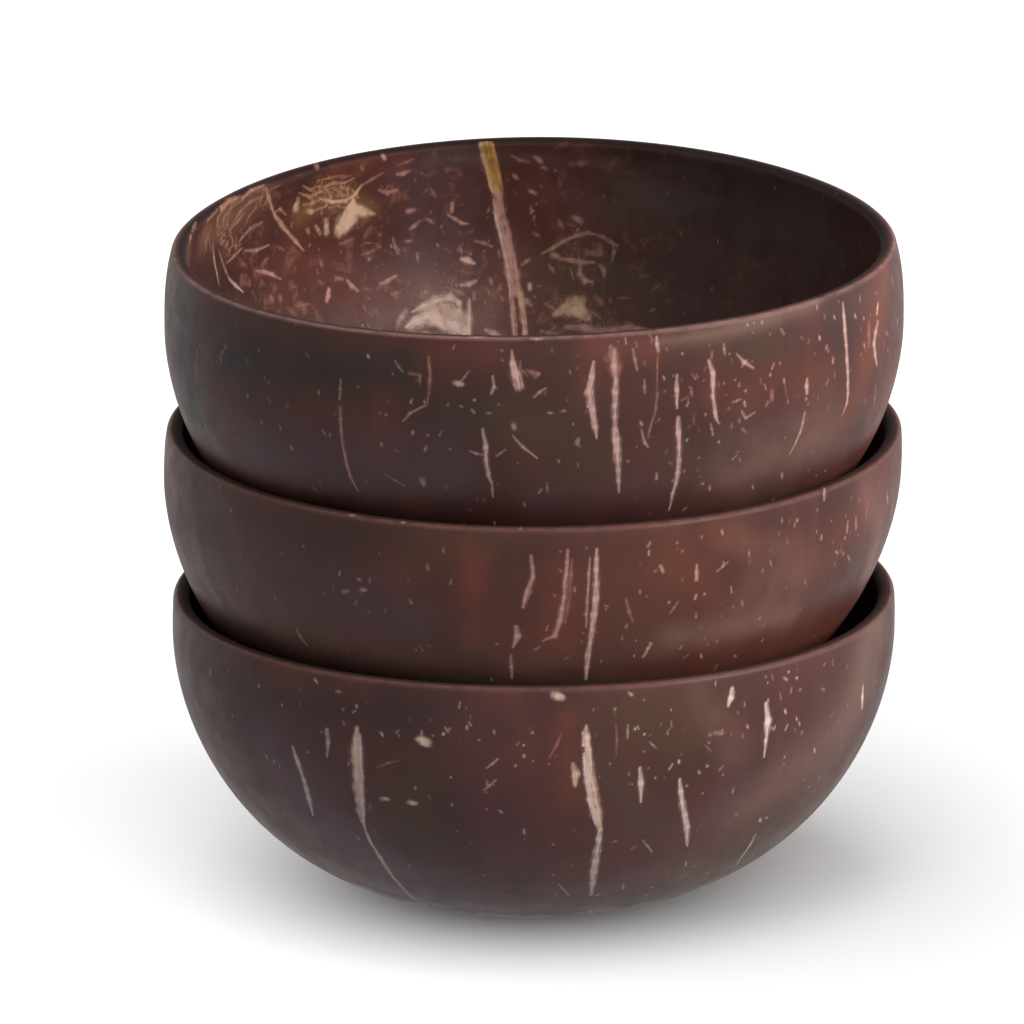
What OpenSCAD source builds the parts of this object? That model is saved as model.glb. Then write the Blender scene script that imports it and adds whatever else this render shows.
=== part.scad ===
// Three bowls made from coconut shells, standing one inside the other.
// Each is the eyeless half of a nut: a sawn rim with eased edges, a polished shell that keeps the
// nut's three soft ridges, and a small flat sanded at the bottom to stand on.
// The stack stands on z = 0, with its front along -Y. Lengths are millimetres.

/* [All bowls] */
// Height of the widest ring above the foot
belly_h = 48.2; // [38:0.1:58]
// Width of the flat that is sanded at the bottom
foot_d = 52; // [36:0.5:62]
// Shell thickness at the middle of the bottom, after sanding
base_wall = 3.8; // [2.5:0.1:6]
// Rounding of the rim's outer edge
outer_ease = 0.9; // [0.4:0.1:1.2]
// Rounding of the rim's inner edge
inner_ease = 1.1; // [0.4:0.1:1.2]
// Gap left where one bowl rests in the next
seat_gap = 0.35; // [0.2:0.05:0.8]

/* [Bottom bowl] */
// Widest diameter
bottom_d = 129.6; // [110:0.2:150]
// Height of the rim above the widest ring
bottom_rise = 6.5; // [4:0.1:20]
// How far the rim draws in from the widest ring
bottom_draw_in = 0.2; // [0:0.1:4]
// Shell thickness at the rim
bottom_wall = 3; // [2.6:0.1:5]
// How far the three ridges stand out
bottom_ridge = 0.95; // [0:0.05:2.5]
// Direction of one ridge, from +X towards the back
bottom_ridge_dir = 87; // [0:1:120]
// How far the ends of the oval stand out
bottom_oval = 0.35; // [0:0.05:1.5]
// Direction of the oval's length
bottom_oval_dir = 37; // [0:1:180]
// How far the rim's centre lies to the right of the foot's
bottom_lean = 0.4; // [-3:0.1:3]
// How much higher the saw left the rim on the right than in the middle
bottom_rim_right = -0.3; // [-1.5:0.1:1.5]
// How much higher the saw left the rim at the back than in the middle
bottom_rim_back = -0.8; // [-1.5:0.1:1.5]

/* [Middle bowl] */
// Widest diameter
middle_d = 131.8; // [110:0.2:150]
// Height of the rim above the widest ring
middle_rise = 7.6; // [4:0.1:20]
// How far the rim draws in from the widest ring
middle_draw_in = 0.4; // [0:0.1:4]
// Shell thickness at the rim
middle_wall = 3; // [2.6:0.1:5]
// How far the three ridges stand out
middle_ridge = 0.1; // [0:0.05:2.5]
// Direction of one ridge, from +X towards the back
middle_ridge_dir = 30; // [0:1:120]
// How far the ends of the oval stand out
middle_oval = 0.35; // [0:0.05:1.5]
// Direction of the oval's length
middle_oval_dir = 25; // [0:1:180]
// How far the rim's centre lies to the right of the foot's
middle_lean = 2; // [-3:0.1:3]
// How much higher the saw left the rim on the right than in the middle
middle_rim_right = -0.6; // [-1.5:0.1:1.5]
// How much higher the saw left the rim at the back than in the middle
middle_rim_back = -0.4; // [-1.5:0.1:1.5]
// How far its foot stands to the right of the bottom bowl's
middle_shift = -1.5; // [-2:0.1:2]

/* [Top bowl] */
// Widest diameter
top_d = 131.6; // [110:0.2:150]
// Height of the rim above the widest ring
top_rise = 14.6; // [4:0.1:20]
// How far the rim draws in from the widest ring
top_draw_in = 1.6; // [0:0.1:4]
// Shell thickness at the rim
top_wall = 2.8; // [2.6:0.1:5]
// How far the three ridges stand out
top_ridge = 1.55; // [0:0.05:2.5]
// Direction of one ridge, from +X towards the back
top_ridge_dir = 95; // [0:1:120]
// How far the ends of the oval stand out
top_oval = 0.3; // [0:0.05:1.5]
// Direction of the oval's length
top_oval_dir = 67; // [0:1:180]
// How far the rim's centre lies to the right of the foot's
top_lean = 0.4; // [-3:0.1:3]
// How much higher the saw left the rim on the right than in the middle
top_rim_right = 0.2; // [-1.5:0.1:1.5]
// How much higher the saw left the rim at the back than in the middle
top_rim_back = 1; // [-1.5:0.1:1.5]
// How far its foot stands to the right of the bottom bowl's
top_shift = 0; // [-2:0.1:2]

/* [Hidden] */

// Powers of the shell's curve: how round it runs below the widest ring, and above it
depth_power = 1.85;
width_power = 2.52;
turn_in_power = 3;

// How finely the shell is divided
segments = 60;
lower_rings = 15;
side_rings = 3;
ease_rings = 3;
inner_rings = 11;

// How many times the range is halved to find a bowl's seat
halvings = 14;

// One bowl: its half width, rise, draw-in, wall, ridge, ridge direction, oval, oval direction,
// lean, and what the saw left at the right and at the back
bottom = [bottom_d / 2, bottom_rise, bottom_draw_in, bottom_wall, bottom_ridge, bottom_ridge_dir,
    bottom_oval, bottom_oval_dir, bottom_lean, bottom_rim_right, bottom_rim_back];
middle = [middle_d / 2, middle_rise, middle_draw_in, middle_wall, middle_ridge, middle_ridge_dir,
    middle_oval, middle_oval_dir, middle_lean, middle_rim_right, middle_rim_back];
top = [top_d / 2, top_rise, top_draw_in, top_wall, top_ridge, top_ridge_dir,
    top_oval, top_oval_dir, top_lean, top_rim_right, top_rim_back];

function widest(bowl) = bowl[0];
function rise(bowl) = bowl[1];
function draw_in(bowl) = bowl[2];
function wall(bowl) = bowl[3];
function lean_at(bowl, z) = bowl[8] * z / (belly_h + rise(bowl));

// What the ridges and the oval add to the radius at angle a, as a share of it
function swell(bowl, a) = 1
    + bowl[4] / widest(bowl) * cos(3 * (a - bowl[5]))
    + bowl[6] / widest(bowl) * cos(2 * (a - bowl[7]));

// The rim's height at angle a: the saw cut is a little off level
function rim_z(bowl, a) = belly_h + rise(bowl) + bowl[9] * cos(a) + bowl[10] * sin(a);

// The curve below the widest ring, as a share of the widest radius, at a share of its depth
function belly_curve(share) = pow(max(0, 1 - pow(min(1, share), depth_power)), 1 / width_power);

// Depth at which the outside would close, if it weren't sanded flat at foot_d
function closing_depth(bowl) =
    belly_h / pow(1 - pow(foot_d / 2 / widest(bowl), width_power), 1 / depth_power);

// What is sanded away below the foot's plane, half of what the closed shell would have there
function sanding(bowl) = (closing_depth(bowl) - belly_h) / 2;

// Radius of the outside at height z above the foot, in the direction a
function outside_r(bowl, a, z) = swell(bowl, a) * (z < belly_h
    ? widest(bowl) * belly_curve((belly_h - z) / closing_depth(bowl))
    : widest(bowl) - draw_in(bowl) * pow((z - belly_h) / rise(bowl), turn_in_power));

// Radius of the inside: one wall in from the outside above the widest ring, and below it a
// curve of its own that comes down to the base wall
function inside_r(bowl, a, z) = z < belly_h
    ? (widest(bowl) * swell(bowl, a) - wall(bowl)) * belly_curve((belly_h - z) / (belly_h - base_wall))
    : outside_r(bowl, a, z) - wall(bowl);

// Height of ring k of n below the widest ring, closer together towards the bottom
function belly_z(depth, k, n, last) = belly_h - depth * pow(sin(last * (1 - k / n)), 2 / depth_power);

// Angle on the curve at which the outside has passed the foot's plane by what is sanded away
function last_angle(bowl) =
    asin(pow((belly_h + sanding(bowl)) / closing_depth(bowl), depth_power / 2));

// Section of the outside in the direction a, as [radius, height] from below the foot to the rim
function outside(bowl, a) = let (
        top_z = rim_z(bowl, a) - outer_ease,
        edge_r = outside_r(bowl, a, top_z))
    concat(
        [for (k = [0 : lower_rings]) let (
                z = belly_z(closing_depth(bowl), k, lower_rings, last_angle(bowl)))
            [outside_r(bowl, a, z), z]],
        [for (k = [1 : side_rings]) let (z = belly_h + (top_z - belly_h) * k / side_rings)
            [outside_r(bowl, a, z), z]],
        [for (k = [1 : ease_rings]) let (q = 90 * k / ease_rings)
            [edge_r - outer_ease * (1 - cos(q)), top_z + outer_ease * sin(q)]]);

// Section of the inside in the direction a, from the rim to just off the middle of the bottom
function inside(bowl, a) = let (
        top_z = rim_z(bowl, a) - inner_ease,
        edge_r = inside_r(bowl, a, top_z))
    concat(
        [for (k = [0 : ease_rings]) let (q = 90 * (1 - k / ease_rings))
            [edge_r + inner_ease * (1 - cos(q)), top_z + inner_ease * sin(q)]],
        [for (k = [1 : side_rings]) let (z = top_z + (belly_h - top_z) * k / side_rings)
            [inside_r(bowl, a, z), z]],
        [for (k = [1 : inner_rings]) let (
                z = belly_z(belly_h - base_wall, inner_rings - k, inner_rings, 90 - 90 / (inner_rings + 1)))
            [inside_r(bowl, a, z), z]]);

// A section's points, turned to angle a and carried sideways by the bowl's lean
function turned(bowl, a, section) =
    [for (p = section) [p[0] * cos(a) + lean_at(bowl, p[1]), p[0] * sin(a), p[1]]];

// The shell as one lofted skin: every section in turn, and a point in the middle of each end
module shell(bowl) {
    angles = [for (i = [0 : segments - 1]) 360 * i / segments];
    sections = [for (a = angles) turned(bowl, a, concat(outside(bowl, a), inside(bowl, a)))];
    n = len(sections[0]);
    under = [lean_at(bowl, -sanding(bowl)), 0, -sanding(bowl)];
    within = [lean_at(bowl, base_wall), 0, base_wall];
    points = concat([for (s = sections) each s], [under, within]);
    sides = [for (i = [0 : segments - 1]) let (j = (i + 1) % segments)
        for (k = [0 : n - 2]) each [
            [i * n + k, i * n + k + 1, j * n + k + 1],
            [i * n + k, j * n + k + 1, j * n + k]]];
    ends = [for (i = [0 : segments - 1]) let (j = (i + 1) % segments) each [
        [i * n, j * n, segments * n],
        [j * n + n - 1, i * n + n - 1, segments * n + 1]]];
    polyhedron(points, concat(sides, ends), convexity = 4);
}

// The shell with its foot sanded flat
module bowl(shape) {
    difference() {
        shell(shape);
        translate([0, 0, -2 * sanding(shape)]) cylinder(h = 2 * sanding(shape), r = foot_d);
    }
}

// How far a point of the lower bowl's inside lies clear of the upper bowl, in the upper bowl's
// own frame: beside it by radius, and under it by the distance from the foot's flat
function clear_of(upper, p) = let (
        z = max(0, p[2]),
        x = p[0] - lean_at(upper, z),
        beside = norm([x, p[1]]) - outside_r(upper, atan2(p[1], x), z))
    p[2] < 0 ? norm([max(0, beside), p[2]]) : beside;

// Least gap between an upper bowl's outside and the points of a lower bowl's inside
function nest_gap(upper, inner_points, shift, lift) =
    min([for (p = inner_points) clear_of(upper, p - [shift, 0, lift])]);

// The lowest lift at which that gap is the seat's, found by halving the range
function seat_lift(upper, inner_points, shift, low, high, left) = left == 0 ? high : let (
        mid = (low + high) / 2)
    nest_gap(upper, inner_points, shift, mid) < seat_gap
        ? seat_lift(upper, inner_points, shift, mid, high, left - 1)
        : seat_lift(upper, inner_points, shift, low, mid, left - 1);

function inner_points(bowl) = [for (i = [0 : segments - 1]) let (a = 360 * i / segments)
    each turned(bowl, a, inside(bowl, a))];

function lift_in(upper, lower, shift) =
    seat_lift(upper, inner_points(lower), shift, 0, belly_h + rise(lower) + 2, halvings);

middle_lift = lift_in(middle, bottom, middle_shift);
top_lift = middle_lift + lift_in(top, middle, top_shift - middle_shift);

module bottom_bowl() {
    color("#4a2f2b") bowl(bottom);
}

module middle_bowl() {
    color("#54352e") translate([middle_shift, 0, middle_lift]) bowl(middle);
}

module top_bowl() {
    color("#5a3a33") translate([top_shift, 0, top_lift]) bowl(top);
}

bottom_bowl();
middle_bowl();
top_bowl();
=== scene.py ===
import functools
import math
import random

import bmesh
import bpy
import numpy as np
from mathutils import Matrix, Vector, noise
from mathutils.bvhtree import BVHTree
from mathutils.kdtree import KDTree


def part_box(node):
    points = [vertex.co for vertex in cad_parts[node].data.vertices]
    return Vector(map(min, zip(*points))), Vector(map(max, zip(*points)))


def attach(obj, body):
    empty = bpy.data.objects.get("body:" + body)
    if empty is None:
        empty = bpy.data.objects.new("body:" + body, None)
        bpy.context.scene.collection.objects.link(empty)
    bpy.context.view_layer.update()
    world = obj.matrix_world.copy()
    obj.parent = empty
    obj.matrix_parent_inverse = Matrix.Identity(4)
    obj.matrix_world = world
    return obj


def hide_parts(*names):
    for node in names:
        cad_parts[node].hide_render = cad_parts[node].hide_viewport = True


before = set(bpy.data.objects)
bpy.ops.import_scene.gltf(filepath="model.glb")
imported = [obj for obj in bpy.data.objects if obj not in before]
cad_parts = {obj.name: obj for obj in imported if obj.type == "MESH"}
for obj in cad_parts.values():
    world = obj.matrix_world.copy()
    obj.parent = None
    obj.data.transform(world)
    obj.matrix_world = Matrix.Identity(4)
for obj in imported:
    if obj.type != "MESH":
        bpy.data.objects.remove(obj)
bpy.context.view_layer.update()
print("loaded the three solids")

# Lengths of the bowls are in millimetres, as on the drawing, and go to metres in the mesh
mm = 0.001

# What all three bowls share: the same sanding jig, the same edge tools, the same kind of nut
shellForm = {
    "bellyHeight": 48.2,    # the widest ring above the foot
    "footWidth": 52,
    "baseWall": 3.8,
    "outerEase": 0.9,       # rounding of the rim's edges
    "innerEase": 1.1,
    "footEase": 0.5,
    "footRise": 0.225,      # the side starts this high, past the foot's eased edge
    "easeSteps": 5,         # faces round each edge of the rim
    "depthPower": 1.85,     # how round the shell runs below the widest ring
    "widthPower": 2.52,
    "turnInPower": 3,
    "step": 1.15,           # spacing of the rings
    "sideSamples": 400,     # points on the curves before they are spaced evenly
    "neckSamples": 40,
    "hollowSamples": 300,
    "turnSteps": 300,
    "shave": 0.04,          # sanding keeps this much inside the drawing
    "rimShave": 0.02,
    "uneven": 0.12,         # soft hollows that hand sanding leaves
    "unevenSize": 24,
    "evenFoot": 4,          # they fade out this near the foot
    "evenMiddle": 12,       # and this near the middle inside
    "grainPole": 16,        # fibres close in on each other this near the poles
    "edgeDown": 0.45,       # the worn line along the rim, under its outer edge
    "edgeWidth": 0.42,
    "rimFade": 0.15,        # how softly the rim, the foot and the inside begin and end
    "rimEnd": 1.3,
    "rimEndFade": 0.25,
    "footFade": 1.2,
    "insideFade": 0.8,
}

bottomBowl = {
    "name": "bottomShell", "node": "bottom_bowl", "body": "bottom", "slot": "bottom_shell",
    "width": 129.6, "rise": 6.5, "drawIn": 0.2, "wall": 3, "ridge": 0.95, "ridgeTurn": 87,
    "oval": 0.35, "ovalTurn": 37, "lean": 0.4, "rimRight": -0.3, "rimBack": -0.8, "shift": 0,
    "dark": "#442b2a", "middle": "#563532", "warm": "#623b34", "seed": 3,
    "pale": "#ead6d2", "cream": "#e8ccb8", "pink": "#d8b6b0",
}
middleBowl = {
    "name": "middleShell", "node": "middle_bowl", "body": "middle", "slot": "middle_shell",
    "width": 131.8, "rise": 7.6, "drawIn": 0.4, "wall": 3, "ridge": 0.1, "ridgeTurn": 30,
    "oval": 0.35, "ovalTurn": 25, "lean": 2, "rimRight": -0.6, "rimBack": -0.4, "shift": -1.5,
    "dark": "#422825", "middle": "#57342c", "warm": "#6a3c31", "seed": 11,
}
topBowl = {
    "name": "topShell", "node": "top_bowl", "body": "top", "slot": "top_shell",
    "width": 131.6, "rise": 14.6, "drawIn": 1.6, "wall": 2.8, "ridge": 1.55, "ridgeTurn": 95,
    "oval": 0.3, "ovalTurn": 67, "lean": 0.4, "rimRight": 0.2, "rimBack": 1, "shift": 0,
    "dark": "#3f2725", "middle": "#50302b", "warm": "#643931", "edge": "#8a6861", "seed": 29,
}

# The camera stands where the photograph's outlines put it
photoView = {
    "centre": (-0.361, 0, 76.8),
    "distance": 1611.9,
    "elevation": 16.744,
    "roll": 0.527,
    "lens": 316.4,
    "sensor": 36,
    "aimRight": -3.22,
    "aimUp": -8.38,
    "pixels": 1024,
}


def linear(hexColour):
    # sRGB hex to the linear colour that the shaders work in
    parts = [int(hexColour[i:i + 2], 16) / 255 for i in (1, 3, 5)]
    return tuple(p / 12.92 if p <= 0.04045 else ((p + 0.055) / 1.055) ** 2.4 for p in parts) + (1,)


def addNode(tree, kind, settings=None, inputs=None):
    # An input takes a value, an output, or a node for its first output
    node = tree.nodes.new(kind)
    for name, value in (settings or {}).items():
        setattr(node, name, value)
    for name, value in (inputs or {}).items():
        value = value.outputs[0] if isinstance(value, bpy.types.Node) else value
        if isinstance(value, bpy.types.NodeSocket):
            tree.links.new(value, node.inputs[name])
        else:
            node.inputs[name].default_value = value
    return node


def placeCamera(view):
    tilt = math.radians(view["elevation"])
    out = Vector((0, -math.cos(tilt), math.sin(tilt)))
    spot = Vector(view["centre"]) * mm + out * view["distance"] * mm
    right, up = Vector((1, 0, 0)), Vector((0, math.sin(tilt), math.cos(tilt)))
    aim = Vector(view["centre"]) * mm + (right * view["aimRight"] + up * view["aimUp"]) * mm
    data = bpy.data.cameras.new("photoCamera")
    data.lens = view["lens"]
    data.sensor_width = view["sensor"]
    camera = bpy.data.objects.new("photoCamera", data)
    bpy.context.scene.collection.objects.link(camera)
    turn = (aim - spot).to_track_quat("-Z", "Y").to_matrix().to_4x4()
    camera.matrix_world = Matrix.Translation(spot) @ turn @ Matrix.Rotation(-math.radians(view["roll"]), 4, "Z")
    bpy.context.scene.camera = camera
    return camera


def pixelRay(camera, x, y):
    # From the camera through a pixel of the photograph
    perPixel = photoView["sensor"] / photoView["lens"] / photoView["pixels"]
    half = photoView["pixels"] / 2
    ahead = Vector(((x - half) * perPixel, (half - y) * perPixel, -1))
    return camera.matrix_world.translation, (camera.matrix_world.to_3x3() @ ahead).normalized()


# The zones of a shell's section
footZone, outerZone, rimZone, innerZone = range(4)


def closingDepth(bowl):
    foot = shellForm["footWidth"] / bowl["width"]
    return shellForm["bellyHeight"] / (1 - foot ** shellForm["widthPower"]) ** (1 / shellForm["depthPower"])


def bellyCurve(share):
    share = np.clip(share, 0, 1)
    return (1 - share ** shellForm["depthPower"]) ** (1 / shellForm["widthPower"])


def sideRadius(bowl, height):
    # The outside's mean radius at a height above the foot
    height = np.asarray(height, float)
    belly = shellForm["bellyHeight"]
    below = bowl["width"] / 2 * bellyCurve((belly - height) / closingDepth(bowl))
    above = np.clip(height - belly, 0, None) / bowl["rise"]
    return np.where(height < belly, below, bowl["width"] / 2 - bowl["drawIn"] * above ** shellForm["turnInPower"])


def evenly(points, step):
    # The same curve with its points about one step apart
    points = np.array(points, float)
    run = np.concatenate([[0], np.cumsum(np.hypot(*np.diff(points, axis=0).T))])
    count = max(2, int(round(run[-1] / step)) + 1)
    at = np.linspace(0, run[-1], count)
    return [(np.interp(a, run, points[:, 0]), np.interp(a, run, points[:, 1])) for a in at]


def shellSection(bowl):
    # The mean section as (radius, height, zone), out from under the foot and back to the middle inside
    form, belly = shellForm, shellForm["bellyHeight"]
    top = belly + bowl["rise"]
    ease, lip, steps = form["outerEase"], form["innerEase"], form["easeSteps"]
    flat = evenly([(0, 0), (form["footWidth"] / 2 - form["footEase"], 0)], form["step"])
    section = [(r, 0, footZone) for r, _ in flat]
    heights = np.linspace(form["footRise"], top - ease, form["sideSamples"])
    side = evenly(list(zip(sideRadius(bowl, heights), heights)), form["step"])
    section += [(r, z, outerZone) for r, z in side]
    edge = float(sideRadius(bowl, top - ease))
    for k in range(1, steps + 1):
        q = math.radians(90 / steps * k)
        section.append((edge - ease * (1 - math.cos(q)), top - ease + ease * math.sin(q), rimZone))
    within = float(sideRadius(bowl, top - lip)) - bowl["wall"]
    for k in range(steps + 1):
        q = math.radians(90 - 90 / steps * k)
        section.append((within + lip * (1 - math.cos(q)), top - lip + lip * math.sin(q), rimZone))
    neck = np.linspace(top - lip, belly, form["neckSamples"])
    down = [(float(sideRadius(bowl, z)) - bowl["wall"], z) for z in neck]
    for q in np.radians(np.linspace(0, 90, form["hollowSamples"])):
        r = (bowl["width"] / 2 - bowl["wall"]) * math.cos(q) ** (2 / form["widthPower"])
        down.append((r, belly - (belly - form["baseWall"]) * math.sin(q) ** (2 / form["depthPower"])))
    section += [(r, z, innerZone) for r, z in evenly(down, form["step"])[1:]]
    return np.array(section)


def roundAxis(place):
    # Height, then radius, then turn, each in thousandths, packed into one number to sort by
    height, radius = round(place.z * 1000), round(math.hypot(place.x, place.y) * 1000)
    turn = round((math.atan2(place.y, place.x) + math.pi) * 1000)
    return height * 1e10 + radius * 1e4 + turn


def spinShell(bowl, section):
    # Half a section turned round the axis, as on a lathe
    made = bmesh.new()
    ring = [made.verts.new((r, 0, z)) for r, z, _ in section]
    ring[0].co.x = ring[-1].co.x = 0
    edges = [made.edges.new(pair) for pair in zip(ring, ring[1:])]
    bmesh.ops.spin(made, geom=ring + edges, cent=(0, 0, 0), axis=(0, 0, 1), angle=2 * math.pi,
                   steps=shellForm["turnSteps"], use_merge=True)
    bmesh.ops.remove_doubles(made, verts=made.verts, dist=0.001)
    bmesh.ops.recalc_face_normals(made, faces=made.faces)
    # The spin leaves them in another order each run, and the marks laid by chance go by it
    made.verts.sort(key=lambda vertex: roundAxis(vertex.co))
    made.faces.sort(key=lambda face: roundAxis(face.calc_center_median()))
    for face in made.faces:
        face.smooth = True
    mesh = bpy.data.meshes.new(bowl["name"])
    made.to_mesh(mesh)
    made.free()
    return mesh


def growShell(bowl, mesh, section, lift):
    # Gives the turned shell the nut's three ridges, its oval, its lean and the saw's slope
    form = shellForm
    co = np.empty(len(mesh.vertices) * 3, np.float32)
    mesh.vertices.foreach_get("co", co)
    co = co.reshape(-1, 3).astype(float)
    r, z, a = np.hypot(co[:, 0], co[:, 1]), co[:, 2], np.arctan2(co[:, 1], co[:, 0])
    gap = (r[:, None] - section[None, :, 0]) ** 2 + (z[:, None] - section[None, :, 1]) ** 2
    ringOf = gap.argmin(axis=1)
    zone = section[ringOf, 2]
    half, belly = bowl["width"] / 2, form["bellyHeight"]
    swell = (1 + bowl["ridge"] / half * np.cos(3 * (a - math.radians(bowl["ridgeTurn"])))
             + bowl["oval"] / half * np.cos(2 * (a - math.radians(bowl["ovalTurn"]))))
    slope = bowl["rimRight"] * np.cos(a) + bowl["rimBack"] * np.sin(a)
    height = z + slope * np.clip((z - belly) / bowl["rise"], 0, 1)
    grown = swell * sideRadius(bowl, height) + (r - sideRadius(bowl, z))
    grown = np.where(zone == footZone, r * swell, grown)
    deep = (zone == innerZone) & (z < belly)
    grown = np.where(deep, r * (1 + (swell - 1) * half / (half - bowl["wall"])), grown)
    hollow = np.array([noise.noise(Vector((x, y, h + 70 * bowl["seed"])) / form["unevenSize"])
                       for x, y, h in co])
    hollow = form["uneven"] * np.clip(0.5 + hollow, 0, 1)
    shave = np.where(zone == innerZone, (hollow - form["uneven"] / 2) * np.clip(r / form["evenMiddle"], 0, 1),
                     form["shave"] + hollow * np.clip(z / form["evenFoot"], 0, 1))
    grown = np.clip(grown - shave, 0, None)
    height = np.where(zone == rimZone, height - form["rimShave"], height)
    placed = np.stack([grown * np.cos(a) + bowl["lean"] * height / (belly + bowl["rise"]) + bowl["shift"],
                       grown * np.sin(a), height + lift], axis=1)
    mesh.vertices.foreach_set("co", (placed * mm).astype(np.float32).ravel())

    # Fibres run from pole to pole: turn round the nut, and the way along it from the foot's middle
    run = np.concatenate([[0], np.cumsum(np.hypot(*np.diff(section[:, :2], axis=0).T))])
    along = run[ringOf]
    far = run[-1] - along
    spread = half * np.clip(np.where(zone == innerZone, far, along) / form["grainPole"], 0, 1)
    grain = np.stack([spread * np.cos(a), spread * np.sin(a), along], axis=1)
    layer = mesh.attributes.new("grain", "FLOAT_VECTOR", "POINT")
    layer.data.foreach_set("vector", grain.astype(np.float32).ravel())
    past = along - run[np.argmax(section[:, 1])]
    land = bowl["wall"] - form["outerEase"] - form["innerEase"]
    rimEnds = 1 + np.exp((past - land - form["rimEnd"]) / form["rimEndFade"])
    kept = {
        # the rim's mask runs on over the inner edge; the shader paints shade with it and makes it drier
        "rim": 1 / (1 + np.exp(-(past + 0.1) / form["rimFade"])) / rimEnds,
        "edge": np.exp(-((past + form["edgeDown"]) / form["edgeWidth"]) ** 2),
        "foot": np.where(zone == footZone, 1.0, 0.0) + np.where(zone == outerZone, np.exp(-z / form["footFade"]), 0),
        "inside": 1 / (1 + np.exp(1 - past / form["insideFade"])),
    }
    for name, values in kept.items():
        mesh.attributes.new(name, "FLOAT", "POINT").data.foreach_set("value", values.astype(np.float32))
    mesh.update()
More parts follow.
